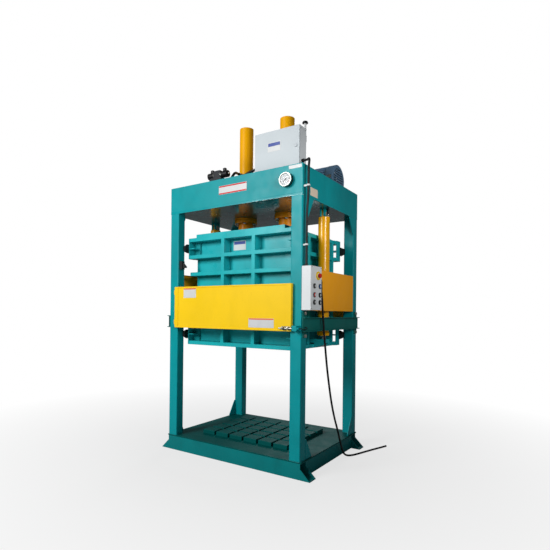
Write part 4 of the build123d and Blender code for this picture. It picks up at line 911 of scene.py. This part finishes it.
class BALER_OT_weld_beads(BalerOperator):
    """Lay the weld beads of the legs, the chamber's ribs and the lift tubes"""

    bl_idname = "baler.weld_beads"
    bl_label = "Weld beads"

    pitch = 9
    smooth = 60
    rib_inset = 30
    tube_seam = 2146
    tube_bead = ((59.5, 0), (60.9, 1.5), (61.8, 4), (60.9, 6.5), (59.5, 8))

    def execute(self, context):
        colours = context.scene.baler_colours
        enamel = painted(
            "weld_enamel", shade(colours.teal, 0.84), roughness=0.36, cloud=0.12, gloss=0.1, peel=0.5
        )
        base_enamel = painted(
            "base_weld_enamel", shade(colours.deep_teal, 0.9), roughness=0.34, cloud=0.12, gloss=0.2, peel=0.5
        )
        tube_enamel = painted(
            "tube_weld_enamel", colours.ram_yellow, roughness=0.3, cloud=0.1, gloss=0.3, peel=0.5
        )
        self.weld_legs(base_enamel, enamel)
        self.weld_chamber(enamel)
        self.weld_lift_tubes(tube_enamel)
        return {"FINISHED"}

    def bead(self, name, start, end):
        radius = bpy.context.scene.baler_trim.weld / MM
        return weld_bead(name, start, end, radius, self.pitch)

    def weld_legs(self, base_enamel, enamel):
        """Each leg is welded all round at its foot, and along its two inner faces at its head."""
        for end in ("front", "rear"):
            for hand in ("left", "right"):
                leg = f"leg_{end}_{hand}"
                low, high = in_mm(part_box(leg))
                foot = [self.bead("foot", (low.x, y, low.z), (high.x, y, low.z)) for y in (low.y, high.y)]
                foot += [self.bead("foot", (x, low.y, low.z), (x, high.y, low.z)) for x in (low.x, high.x)]
                joined_foot = join(f"foot_weld_{end}_{hand}", foot)
                settle(joined_foot, "frame", base_enamel, self.smooth)
                inner_x = high.x if hand == "left" else low.x
                inner_y = high.y if end == "front" else low.y
                head = [
                    self.bead("head", (low.x, inner_y, high.z), (high.x, inner_y, high.z)),
                    self.bead("head", (inner_x, low.y, high.z), (inner_x, high.y, high.z)),
                ]
                settle(join(f"head_weld_{end}_{hand}", head), "frame", enamel, self.smooth)

    def weld_chamber(self, enamel):
        """Each rib has a bead above and below, but none at the chamber's own lower and upper edge."""
        low, high = in_mm(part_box("chamber_front_panel"))
        near, far = low.x + self.rib_inset, high.x - self.rib_inset
        for side, end in ((-1, "front"), (1, "rear")):
            y = side * CHAMBER_WALL
            beads = []
            for rib in range(RIB_BAYS + 1):
                level = low.z + rib * RIB_PITCH
                edges = [level] if rib else []
                edges += [level + RIB_HEIGHT] if rib < RIB_BAYS else []
                beads += [self.bead("rib", (near, y, z), (far, y, z)) for z in edges]
            settle(join(f"rib_welds_{end}", beads), "chamber", enamel, self.smooth)

    def weld_lift_tubes(self, enamel):
        for side, hand in HANDS:
            seam = (side * LIFT_X, 0, self.tube_seam)
            band = turned(f"tube_weld_{hand}", seam, UP, self.tube_bead, sides=48, hollow=True)
            settle(band, "frame", enamel, self.smooth)


class BALER_OT_guide_webs(BalerOperator):
    """Close the pockets of the chamber's front corner guides with thin webs, darkened to paint the shade
    inside the pockets
    """

    bl_idname = "baler.guide_webs"
    bl_label = "Guide pocket webs"

    # A web reaches from the wall's end to the guide's outer edge, and stands on the rib below it
    wall_reach = 588
    guide_reach = 676
    front, back = -437, -431
    height = 153
    overlap = 1

    def execute(self, context):
        colours = context.scene.baler_colours
        # The webs' darker teal is painted shade inside the guides' pockets
        enamel = painted(
            "web_shade_enamel", shade(colours.chamber_teal, 0.7), roughness=0.34, soil=shade(colours.teal, 0.5)
        )
        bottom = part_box("chamber_front_panel")[0].z / MM
        webs = []
        for side in (-1, 1):
            near, far = sorted((side * self.wall_reach, side * self.guide_reach))
            for bay in (0, RIB_BAYS - 1):
                foot = bottom + bay * RIB_PITCH + RIB_HEIGHT - self.overlap
                web = begin_block("web", (near, self.front, foot), (far, self.back, foot + self.height))
                pick_faces(web, FRONT)
                step_faces(FRONT, inset=8, push=1.5)
                webs.append(web)
        settle(join("guide_webs", webs), "chamber", enamel)
        return {"FINISHED"}


class BALER_OT_gauge(BalerOperator):
    """Fit the gauge's bezel, its dial with plain numbers and its glass"""

    bl_idname = "baler.gauge"
    bl_label = "Gauge"

    centre = (675, CROSSHEAD_FACE, 2762)
    # The scale turns clockwise from its first mark, in degrees
    first_angle = 225
    sweep = 270
    divisions = 25
    numbered = 5
    # Radii and depths on the dial, in mm
    mark_rim = 53
    mark_depth = 32.9
    mark_rounding = 0.3
    long_mark = (44, 0.9)
    short_mark = (48.5, 0.5)
    number_radius = 35
    number_depth = 33.0
    number_height = 13
    # The red band covers the last part of the scale
    band_start = 0.82
    band_radius = 41.5
    band_depth = 32.85
    band_block = (1.2, 0.2, 2.1)
    band_rounding = 0.2
    band_steps = 10
    bezel_outline = (
        (57, 33), (57, 41), (59.5, 43.2), (63.5, 43.2), (66.6, 40.5), (66.6, 25), (63, 24), (63, 33)
    )
    dial_outline = ((57.2, 31.8), (57.2, 32.4), (56.4, 32.8))
    glass_outline = ((57.4, 38.5), (57.4, 39.6), (50, 40.2))

    def execute(self, context):
        colours = context.scene.baler_colours
        chrome = plated("bezel_chrome", colours.zinc, roughness=0.34, wear=0.1)
        bezel = turned("gauge_bezel", self.centre, FRONT, self.bezel_outline, sides=64, hollow=True)
        settle(bezel, "frame", chrome)
        enamel = painted("dial_enamel", colours.dial, roughness=0.4, cloud=0.02, gloss=0.1, peel=0.02)
        face = turned("gauge_dial", self.centre, FRONT, self.dial_outline, sides=64)
        settle(face, "frame", enamel)
        ink = moulded("dial_ink", colours.plastic, roughness=0.5)
        settle(join("gauge_scale", self.scale_marks()), "frame", ink)
        red = moulded("dial_red", colours.red, roughness=0.4)
        settle(join("gauge_red_arc", self.red_band()), "frame", red)
        glass = turned("gauge_window", self.centre, FRONT, self.glass_outline, sides=64)
        settle(glass, "frame", self.clear_glass())
        return {"FINISHED"}

    def angle(self, share):
        """Where a share of the scale lies, clockwise from the lower left."""
        return math.radians(self.first_angle - self.sweep * share)

    def on_dial(self, share, radius, depth):
        bearing = self.angle(share)
        x, y, z = self.centre
        return Vector((x + radius * math.cos(bearing), y - depth, z + radius * math.sin(bearing)))

    def dial_block(self, name, share, middle, half, rounding):
        """A small block on the dial, turned to point at the dial's centre."""
        block = begin_rounded(name, middle - half, middle + half, FRONT, rounding, steps=1)
        bpy.ops.mesh.select_all(action="SELECT")
        bpy.ops.transform.rotate(value=-self.angle(share), orient_axis="Y", center_override=middle * MM)
        return block

    def scale_marks(self):
        marks = []
        for division in range(self.divisions + 1):
            share = division / self.divisions
            numbered = division % self.numbered == 0
            inner, half_width = self.long_mark if numbered else self.short_mark
            middle = self.on_dial(share, (inner + self.mark_rim) / 2, self.mark_depth)
            half = Vector(((self.mark_rim - inner) / 2, 0.25, half_width))
            marks.append(self.dial_block("mark", share, middle, half, self.mark_rounding))
            if numbered:
                place = self.on_dial(share, self.number_radius, self.number_depth)
                marks.append(self.number(division, place))
        return marks

    def number(self, value, middle):
        leave_editing()
        bpy.ops.object.text_add()
        digits = bpy.context.object
        digits.data.body = str(value)
        digits.data.size = self.number_height * MM
        digits.data.extrude = 0.2 * MM
        digits.data.align_x = "CENTER"
        digits.data.align_y = "CENTER"
        bpy.ops.object.convert(target="MESH")
        digits.rotation_euler = (math.radians(90), 0, 0)
        digits.location = middle * MM
        bpy.ops.object.transform_apply(location=True, rotation=True, scale=True)
        return digits

    def red_band(self):
        """Small red blocks, end to end along the last part of the scale."""
        blocks = []
        for step in range(self.band_steps):
            share = self.band_start + (1 - self.band_start) * (step + 0.5) / self.band_steps
            middle = self.on_dial(share, self.band_radius, self.band_depth)
            blocks.append(self.dial_block("arc", share, middle, Vector(self.band_block), self.band_rounding))
        return blocks

    def clear_glass(self):
        material, tree, shader = new_material("gauge_glass")
        smear = ramp(tree, pattern(tree, scale=60, detail=3), band=(0.4, 0.7), values=(0.03, 0.10))
        tree.links.new(smear, shader.inputs["Roughness"])
        shader.inputs["Base Color"].default_value = (0.9, 0.95, 0.95, 1)
        shader.inputs["Alpha"].default_value = 0.06
        return material


class BALER_OT_bare_plates(BalerOperator):
    """Mount the blank name plates and labels, with no lettering"""

    bl_idname = "baler.bare_plates"
    bl_label = "Blank plates"

    # Name, body, the face it lies on, its thickness, its reach across and up, and its colour
    labels = (
        ("cabinet_label", "cabinet_lid", DOOR_FACE, 1.2, (420, 568), (3082, 3173), "white"),
        ("cabinet_label_band", "cabinet_lid", DOOR_FACE - 1.2, 0.7, (426, 562), (3134, 3166), "navy"),
        ("chamber_label", "chamber", -CHAMBER_WALL, 1.4, (-126, 36), (2188, 2287), "white"),
        ("chamber_label_band", "chamber", -CHAMBER_WALL - 1.4, 0.7, (-119, 29), (2250, 2281), "navy"),
        ("gate_label_upper", "gate", GATE_FACE, 1.4, (-598, -420), (1676, 1778), "white"),
        ("gate_label_upper_band", "gate", GATE_FACE - 1.4, 0.7, (-596, -422), (1766, 1777), "orange"),
        ("gate_label_lower", "gate", GATE_FACE, 1.4, (272, 565), (1380, 1470), "white"),
        ("gate_label_lower_band", "gate", GATE_FACE - 1.4, 0.7, (275, 562), (1457, 1468), "orange"),
        ("corner_label", "frame", CROSSHEAD_FACE, 1.4, (692, 830), (2860, 2892), "white"),
    )
    rating_low, rating_high = (CROSSHEAD_SIDE, -500, 2634), (CROSSHEAD_SIDE + 1.4, -352, 2712)
    board_reach = (-148, 208)
    board_bottom, board_top = 2736, 2825
    board_thickness = 2
    border_reach = (-146, 206)
    border_levels = (2738, 2810)
    border_height = 13
    border_thickness = 0.8
    rivet_place = (-138, 2744.5)
    rivet_gaps = (336, 72)

    def execute(self, context):
        colours = context.scene.baler_colours
        films = {
            "white": self.film("label_film", colours.white, cloud=0.02, soil=shade(colours.white, 0.85)),
            "red": self.film("label_red", colours.red),
            "navy": self.film("label_navy", colours.navy),
            "orange": self.film("label_orange", colours.orange),
            "beige": self.film("label_beige", colours.beige, roughness=0.4),
        }
        self.name_plate(films, plated("rivet_zinc", colours.zinc))
        for name, body, face, thickness, (left, right), (bottom, top), shown in self.labels:
            self.label(name, (left, face - thickness, bottom), (right, face, top), FRONT, body, films[shown])
        self.label("rating_plate", self.rating_low, self.rating_high, RIGHT, "frame", films["beige"])
        return {"FINISHED"}

    def film(self, name, base, roughness=0.35, cloud=0.04, soil=None):
        """Smooth printed film."""
        return painted(name, base, roughness, cloud, gloss=0.25, peel=0.03, soil=soil)

    def label(self, name, low, high, facing, body, material):
        sheet = plate(name, low, high, facing, corner=3, rim=2.5)
        settle(sheet, body, material)

    def name_plate(self, films, zinc):
        """The blank board over the gate, with a red strip along its lower and upper edge."""
        front = CROSSHEAD_FACE - self.board_thickness
        left, right = self.board_reach
        low, high = (left, front, self.board_bottom), (right, CROSSHEAD_FACE, self.board_top)
        board = plate("name_plate", low, high, FRONT, corner=6, rim=3)
        settle(board, "frame", films["white"])
        left, right = self.border_reach
        strip_front = front - self.border_thickness
        strips = [
            plate("strip", (left, strip_front, z), (right, front, z + self.border_height), FRONT, corner=3)
            for z in self.border_levels
        ]
        settle(join("name_plate_borders", strips), "frame", films["red"])
        x, z = self.rivet_place
        across, up = self.rivet_gaps
        rivet = screw_head("name_plate_rivets", (x, strip_front, z), FRONT, radius=3.4, height=1.8)
        settle(with_copies(rivet, corner_steps((across, 0, 0), (0, 0, up))), "frame", zinc)


class BALER_OT_control_trim(BalerOperator):
    """Trim the control box: stop collar, button rings and inlays, gasket and screws"""

    bl_idname = "baler.control_trim"
    bl_label = "Control box trim"

    stop_centre = (CONTROL_FACE, -519, 1870)
    collar_outline = ((23.5, 0), (23.5, 9.4), (25, 10.6), (37.6, 10.6), (39.2, 9), (39.2, 0))
    ring_outline = ((18.9, 0), (18.9, 5.2), (20, 6.6), (23.2, 6.6), (24, 5.6), (24, 0))
    inlay_outline = ((11.5, -0.2), (11.5, 0.5), (10.8, 0.8), (9.6, 0.8), (9.2, 0.5))
    gasket_reach = (934.2, 935.8)
    gasket_lip = 0.9
    screw_inset = 12

    def execute(self, context):
        colours = context.scene.baler_colours
        yellow = moulded("collar_yellow", colours.yellow, roughness=0.35)
        black = moulded("ring_black", colours.plastic, roughness=0.35)
        white = moulded("inlay_white", colours.white, roughness=0.35)
        collar = turned("stop_collar", self.stop_centre, RIGHT, self.collar_outline, sides=56, hollow=True)
        settle(collar, "frame", yellow)
        for number in range(1, 7):
            low, high = in_mm(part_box(f"push_button_{number}"))
            y, z = (low.y + high.y) / 2, (low.z + high.z) / 2
            foot = (CONTROL_FACE, y, z)
            ring = turned(f"button_ring_{number}", foot, RIGHT, self.ring_outline, sides=40, hollow=True)
            settle(ring, "frame", black)
            inlay = turned(f"button_inlay_{number}", (high.x, y, z), RIGHT, self.inlay_outline)
            settle(inlay, f"button_{number}", white)
        self.seal_cover(moulded("gasket_rubber", colours.rubber, roughness=0.6))
        self.screw_cover(plated("screw_zinc", colours.zinc))
        return {"FINISHED"}

    def seal_cover(self, rubber):
        low, high = in_mm(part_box("control_box"))
        lip = self.gasket_lip
        near, far = self.gasket_reach
        corner, opposite = (near, low.y - lip, low.z - lip), (far, high.y + lip, high.z + lip)
        gasket = begin_rounded("cover_gasket", corner, opposite, RIGHT, radius=3)
        settle(gasket, "frame", rubber)

    def screw_cover(self, zinc):
        low, high = in_mm(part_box("control_box"))
        inset = self.screw_inset
        place = (CONTROL_FACE, low.y + inset, low.z + inset)
        screw = screw_head("cover_screws", place, RIGHT, radius=5.2, height=2.8)
        across, up = high.y - low.y - 2 * inset, high.z - low.z - 2 * inset
        settle(with_copies(screw, corner_steps((0, across, 0), (0, 0, up))), "frame", zinc)


class BALER_OT_cabinet_trim(BalerOperator):
    """Trim the electrical cabinet: lock ring, door seal, side screws and mast tube"""

    bl_idname = "baler.cabinet_trim"
    bl_label = "Cabinet trim"

    lock_centre = (737, DOOR_FACE, 3094)
    ring_outline = ((13.4, 0), (13.4, 3.2), (14.2, 4), (17, 4), (18.2, 2.8), (18.2, 0))
    seal_reach = (269.5, 771.5)
    seal_front, seal_back = -583.6, -582.8
    seal_gap = 1.5
    seal_width = 5
    mast_place = (753, -455)
    tube_outline = ((10.1, 0), (10.1, 60), (10.8, 60), (11.4, 59), (11.4, 6), (14, 5), (14, 0))
    screw_y = -560
    screw_inset = 24
    screw_gap = 70

    def execute(self, context):
        colours = context.scene.baler_colours
        coat = sheet_coat("lock_powder_coat", shade(colours.door_grey, 0.9))
        ring = turned("lock_ring", self.lock_centre, FRONT, self.ring_outline, sides=36, hollow=True)
        settle(ring, "cabinet_lid", coat)
        low, high = in_mm(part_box("cabinet_shell"))
        left, right = self.seal_reach
        lowest, highest = low.z + self.seal_gap, high.z - self.seal_gap
        seal = begin_block("door_seal", (left, self.seal_front, lowest), (right, self.seal_back, highest))
        cut_window(seal, FRONT, self.seal_width)
        settle(seal, "frame", moulded("seal_rubber", colours.rubber, roughness=0.6))
        tube = turned("mast_tube", (*self.mast_place, high.z), UP, self.tube_outline, sides=28, hollow=True)
        mast_paint = painted("mast_white", colours.white, roughness=0.3, cloud=0.03, gloss=0.4)
        settle(tube, "frame", mast_paint)
        place = (high.x, self.screw_y, low.z + self.screw_inset)
        screw = screw_head("cabinet_screws", place, RIGHT, radius=5.5, height=3)
        rise = high.z - low.z - 2 * self.screw_inset
        screws = with_copies(screw, corner_steps((0, self.screw_gap, 0), (0, 0, rise)))
        settle(screws, "frame", plated("cabinet_zinc", colours.zinc))
        return {"FINISHED"}


class BALER_OT_cabinet_gear(BalerOperator):
    """Fit the cabinet's mounting plate with its rails, ducts, contactors, breakers and terminals"""

    bl_idname = "baler.cabinet_gear"
    bl_label = "Cabinet gear"

    plate_low, plate_high = (295, -477, 2930), (745, -474, 3258)
    # Rails and ducts run from left to right and are sunk a little into the plate
    left, right = 310, 730
    root = -476.5
    rail_face = -484
    duct_face = -530
    half_height = 17
    rail_levels = (2966, 3082, 3212)
    duct_levels = (3016, 3148)

    def execute(self, context):
        colours = context.scene.baler_colours
        zinc = plated("mounting_zinc", colours.zinc, roughness=0.42, metallic=0.5)
        black = moulded("contactor_plastic", colours.plastic)
        pale = moulded("breaker_plastic", colours.white, roughness=0.4)
        grey = moulded("duct_plastic", shade(colours.white, 0.45), roughness=0.5)
        back = plate("mounting_plate", self.plate_low, self.plate_high, FRONT, corner=5)
        rails = [self.strip("rail", z, self.rail_face, rounding=1) for z in self.rail_levels]
        settle(join("mounting_plate", [back, *rails]), "frame", zinc)
        ducts = [self.strip("duct", z, self.duct_face, rounding=2) for z in self.duct_levels]
        settle(join("wiring_ducts", ducts), "frame", grey)
        terminals = self.rail_row("terminals", (325, 2946, 2986), width=9, depth=36, pitch=10, count=20)
        settle(terminals, "frame", pale)
        contactors = self.rail_row("contactors", (325, 3043, 3121), width=45, depth=74, pitch=56, count=4)
        settle(contactors, "frame", black)
        relays = self.rail_row("relays", (565, 3050, 3114), width=22, depth=60, pitch=26, count=6)
        settle(relays, "frame", pale)
        breakers = self.rail_row("breakers", (325, 3172, 3252), width=17, depth=58, pitch=18, count=12)
        settle(breakers, "frame", pale)
        return {"FINISHED"}

    def strip(self, name, level, face, rounding):
        """A rail or a duct across the mounting plate."""
        low = (self.left, face, level - self.half_height)
        high = (self.right, self.root, level + self.half_height)
        return begin_rounded(name, low, high, RIGHT, rounding)

    def rail_row(self, name, place, width, depth, pitch, count):
        """A row of like modules side by side on a rail, each with a stepped nose.

        The place is the row's left end, its bottom and its top.
        """
        start, bottom, top = place
        nose = 8
        shoulder = self.rail_face - depth + nose
        module = begin_block(name, (start, shoulder, bottom), (start + width, self.rail_face, top))
        pick_faces(module, FRONT)
        step_faces(FRONT, inset=width / 8, push=0)
        step_faces(FRONT, inset=0, push=nose)
        return with_copies(module, [(number * pitch, 0, 0) for number in range(1, count)])


class BALER_OT_latch_trim(BalerOperator):
    """Fit the latch's zinc back plate, bolt guides and screws"""

    bl_idname = "baler.latch_trim"
    bl_label = "Latch trim"

    plate_low, plate_high = (650, GATE_STILE_FACE - 1.4, 1366), (744, GATE_STILE_FACE, 1400)
    # The guides close round the gate's two bolt loops
    guide_starts = (662.5, 720.5)
    guide_width = 15
    guide_front, guide_back = -716.8, -691.2
    guide_bottom, guide_top = 1369.4, 1396.6
    screw_place = (656, -691.7, 1371.5)
    screw_gaps = (83, 23)

    def execute(self, context):
        zinc = plated("latch_zinc", context.scene.baler_colours.zinc, roughness=0.24)
        back = plate("latch_plate", self.plate_low, self.plate_high, FRONT, corner=4)
        settle(back, "gate", zinc)
        for number, start in enumerate(self.guide_starts, start=1):
            low = (start, self.guide_front, self.guide_bottom)
            high = (start + self.guide_width, self.guide_back, self.guide_top)
            guide = begin_rounded(f"latch_guide_{number}", low, high, RIGHT, radius=5, steps=4)
            settle(guide, "gate", zinc)
        across, up = self.screw_gaps
        screw = screw_head("latch_screws", self.screw_place, FRONT, radius=3.2, height=2)
        settle(with_copies(screw, corner_steps((across, 0, 0), (0, 0, up))), "gate", zinc)
        return {"FINISHED"}


class BALER_OT_fittings(BalerOperator):
    """Fit the hose ferrules, the lift line nuts, the coil connectors and the lift glands"""

    bl_idname = "baler.fittings"
    bl_label = "Hydraulic fittings"

    # Where each hose or line ends, and the way it leaves
    hose_ends = (
        ((-280, -440, 2905), BACK),
        ((254, 225, 2995), FRONT),
        ((-215, -440, 2935), BACK),
        ((-278, -98, 3110), FRONT),
        ((-240, -440, 2905), BACK),
        ((278, -98, 3110), FRONT),
    )
    line_ends = (
        ((-783, 0, 2525), UP),
        ((783, 0, 2525), UP),
        ((-360, -465, 2905), LEFT),
        ((-200, -465, 2905), RIGHT),
    )
    ferrule_outline = (
        (16.5, 13), (18, 15), (18, 19), (17, 20), (17, 22), (18, 23),
        (18, 27), (17, 28), (17, 30), (18, 31), (18, 42), (16.8, 44),
    )
    cutting_ring_outline = ((13.5, 19), (14, 20), (14, 26), (12.5, 28))
    # The coils lie on one axis, to the left and the right of the valve's middle
    valve_centre = (-280, -500, 3002)
    flange_out, plug_out, cap_out = 45, 85, 142
    plug_half = (16, 15)
    plug_bottom, plug_top = 3036, 3062
    flange_outline = ((29, -2), (31, 0), (38.5, 0), (38.5, 7), (36.8, 8.5), (30, 8.5))
    lift_gland_level = 1295
    lift_gland_outline = ((51, -1), (60.4, -1), (63.5, 1), (63.5, 30), (61, 33), (59.8, 33))

    def execute(self, context):
        colours = context.scene.baler_colours
        zinc = plated("fitting_zinc", colours.zinc, roughness=0.24)
        for number, (place, out) in enumerate(self.hose_ends, start=1):
            nut = hex_nut("nut", place, out, radius=22, height=14)
            ferrule = turned("sleeve", place, out, self.ferrule_outline, sides=28)
            settle(join(f"hose_fitting_{number}", [nut, ferrule]), "frame", zinc)
        for number, (place, out) in enumerate(self.line_ends, start=1):
            nut = hex_nut("nut", place, out, radius=18, height=20)
            ring = turned("sleeve", place, out, self.cutting_ring_outline, sides=24)
            settle(join(f"line_fitting_{number}", [nut, ring]), "frame", zinc)
        self.fit_coils(zinc, moulded("connector_plastic", colours.plastic, roughness=0.4))
        for side, hand in HANDS:
            foot = (side * LIFT_X, 0, self.lift_gland_level)
            gland = turned(f"lift_gland_{hand}", foot, UP, self.lift_gland_outline, sides=48, hollow=True)
            settle(gland, "frame", bpy.data.materials["cylinder_enamel"])
        return {"FINISHED"}

    def fit_coils(self, zinc, black):
        """Each coil of the valve has a flange, a plug on top and a nut at its end."""
        x, y, z = self.valve_centre
        half_x, half_y = self.plug_half
        for side, hand in HANDS:
            out = Vector((side, 0, 0))
            root = (x + side * self.flange_out, y, z)
            flange = turned(f"coil_flange_{hand}", root, out, self.flange_outline, sides=36)
            settle(flange, "frame", zinc)
            plug_x = x + side * self.plug_out
            low = (plug_x - half_x, y - half_y, self.plug_bottom)
            high = (plug_x + half_x, y + half_y, self.plug_top)
            plug = begin_block(f"coil_plug_{hand}", low, high)
            pick_faces(plug, UP)
            step_faces(UP, inset=3, push=5)
            pick_edges(plug, UP)
            round_edges(3)
            settle(plug, "frame", black)
            cap = hex_nut(f"coil_nut_{hand}", (x + side * self.cap_out, y, z), out, radius=11, height=8)
            settle(cap, "frame", zinc)


class BALER_OT_ring_bolts(BalerOperator):
    """Put dark washers under the bolts that hold the main cylinders"""

    bl_idname = "baler.ring_bolts"
    bl_label = "Ring bolt washers"

    bolts = 6
    bolt_circle = 115
    level = 2555
    washer_outline = ((11, 0.2), (19, 0.2), (19.5, -0.6), (19.5, -2.2), (18.6, -3), (11, -3))

    def execute(self, context):
        steel = plated("washer_steel", shade(context.scene.baler_colours.zinc, 0.3), roughness=0.4)
        for side, hand in HANDS:
            washers = []
            for bolt in range(self.bolts):
                bearing = math.radians(360 / self.bolts * bolt)
                x = side * RAM_X + self.bolt_circle * math.cos(bearing)
                y = self.bolt_circle * math.sin(bearing)
                centre = (x, y, self.level)
                washers.append(turned("washer", centre, UP, self.washer_outline, sides=28, hollow=True))
            settle(join(f"ring_washers_{hand}", washers), "frame", steel)
        return {"FINISHED"}


class BALER_OT_pump_trim(BalerOperator):
    """Trim the pump set: blank motor plate, cowl grille and the tank's breather"""

    bl_idname = "baler.pump_trim"
    bl_label = "Pump set trim"

    plate_reach = (690, 752)
    plate_bottom, plate_top = 2984, 3012
    plate_proud, plate_sunk = 1.6, 3
    grille_radii = (42, 66, 90, 114)
    wire_width = 3
    wire_root, wire_rise = -2, 0.6
    breather_x = -195
    breather_outline = ((34.5, -30), (36, -28), (36, -4), (34, 0), (30, 3), (16, 5), (14, 9), (8, 10))

    def execute(self, context):
        colours = context.scene.baler_colours
        cowl_low, cowl_high = in_mm(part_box("fan_cowl"))
        axis_y = (cowl_low.y + cowl_high.y) / 2
        axis_z = (cowl_low.z + cowl_high.z) / 2
        left, right = self.plate_reach
        low = (left, cowl_low.y - self.plate_proud, self.plate_bottom)
        high = (right, cowl_low.y + self.plate_sunk, self.plate_top)
        tag = plate("motor_plate", low, high, FRONT, corner=3, rim=2)
        settle(tag, "frame", plated("plate_aluminium", colours.zinc, roughness=0.45))
        rings = [self.grille_ring((cowl_high.x, axis_y, axis_z), radius) for radius in self.grille_radii]
        grille_steel = plated("grille_steel", shade(colours.zinc, 0.4), roughness=0.4)
        settle(join("cowl_grille", rings), "frame", grille_steel)
        tank_top = in_mm(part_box("oil_tank"))[1].z
        breather = turned(
            "tank_breather", (self.breather_x, axis_y, tank_top), UP, self.breather_outline, sides=40
        )
        breather_plastic = moulded("breather_plastic", colours.plastic, roughness=0.4)
        settle(breather, "frame", breather_plastic)
        return {"FINISHED"}

    def grille_ring(self, centre, radius):
        """One ring of the grille, of flat wire that is sunk a little into the cowl."""
        outer = radius + self.wire_width
        outline = [(radius, self.wire_root), (radius, self.wire_rise), (outer, self.wire_rise)]
        outline.append((outer, self.wire_root))
        return turned("ring", centre, RIGHT, outline, sides=56, hollow=True)


class BALER_PT_dressing(bpy.types.Panel):
    """Lists the baler's operators, its colours and its sizes"""

    bl_label = "Baler"
    bl_idname = "BALER_PT_dressing"
    bl_space_type = "VIEW_3D"
    bl_region_type = "UI"
    bl_category = "Baler"

    def draw(self, context):
        for operator in OPERATORS:
            self.layout.operator(operator.bl_idname)
        for group in (context.scene.baler_colours, context.scene.baler_trim, context.scene.baler_studio):
            box = self.layout.box()
            for name in group.__annotations__:
                box.prop(group, name)


OPERATORS = (
    BALER_OT_studio,
    BALER_OT_supply_cable,
    BALER_OT_steelwork,
    BALER_OT_guards,
    BALER_OT_cylinders,
    BALER_OT_electrics,
    BALER_OT_hydraulics,
    BALER_OT_strain_relief,
    BALER_OT_weld_beads,
    BALER_OT_guide_webs,
    BALER_OT_gauge,
    BALER_OT_bare_plates,
    BALER_OT_control_trim,
    BALER_OT_cabinet_trim,
    BALER_OT_cabinet_gear,
    BALER_OT_latch_trim,
    BALER_OT_fittings,
    BALER_OT_ring_bolts,
    BALER_OT_pump_trim,
)
GROUPS = (BalerColours, BalerTrim, BalerStudio)


def register():
    for kind in (*GROUPS, *OPERATORS, BALER_PT_dressing):
        bpy.utils.register_class(kind)
    bpy.types.Scene.baler_colours = PointerProperty(type=BalerColours)
    bpy.types.Scene.baler_trim = PointerProperty(type=BalerTrim)
    bpy.types.Scene.baler_studio = PointerProperty(type=BalerStudio)


def unregister():
    del bpy.types.Scene.baler_studio
    del bpy.types.Scene.baler_trim
    del bpy.types.Scene.baler_colours
    for kind in reversed((*GROUPS, *OPERATORS, BALER_PT_dressing)):
        bpy.utils.unregister_class(kind)


def corners(box):
    """A box's two corners as plain lists of numbers."""
    return [[round(float(value), 5) for value in corner] for corner in box]


def main():
    register()
    for operator in OPERATORS:
        group, name = operator.bl_idname.split(".")
        getattr(getattr(bpy.ops, group), name)()


if __name__ == "__main__":
    main()
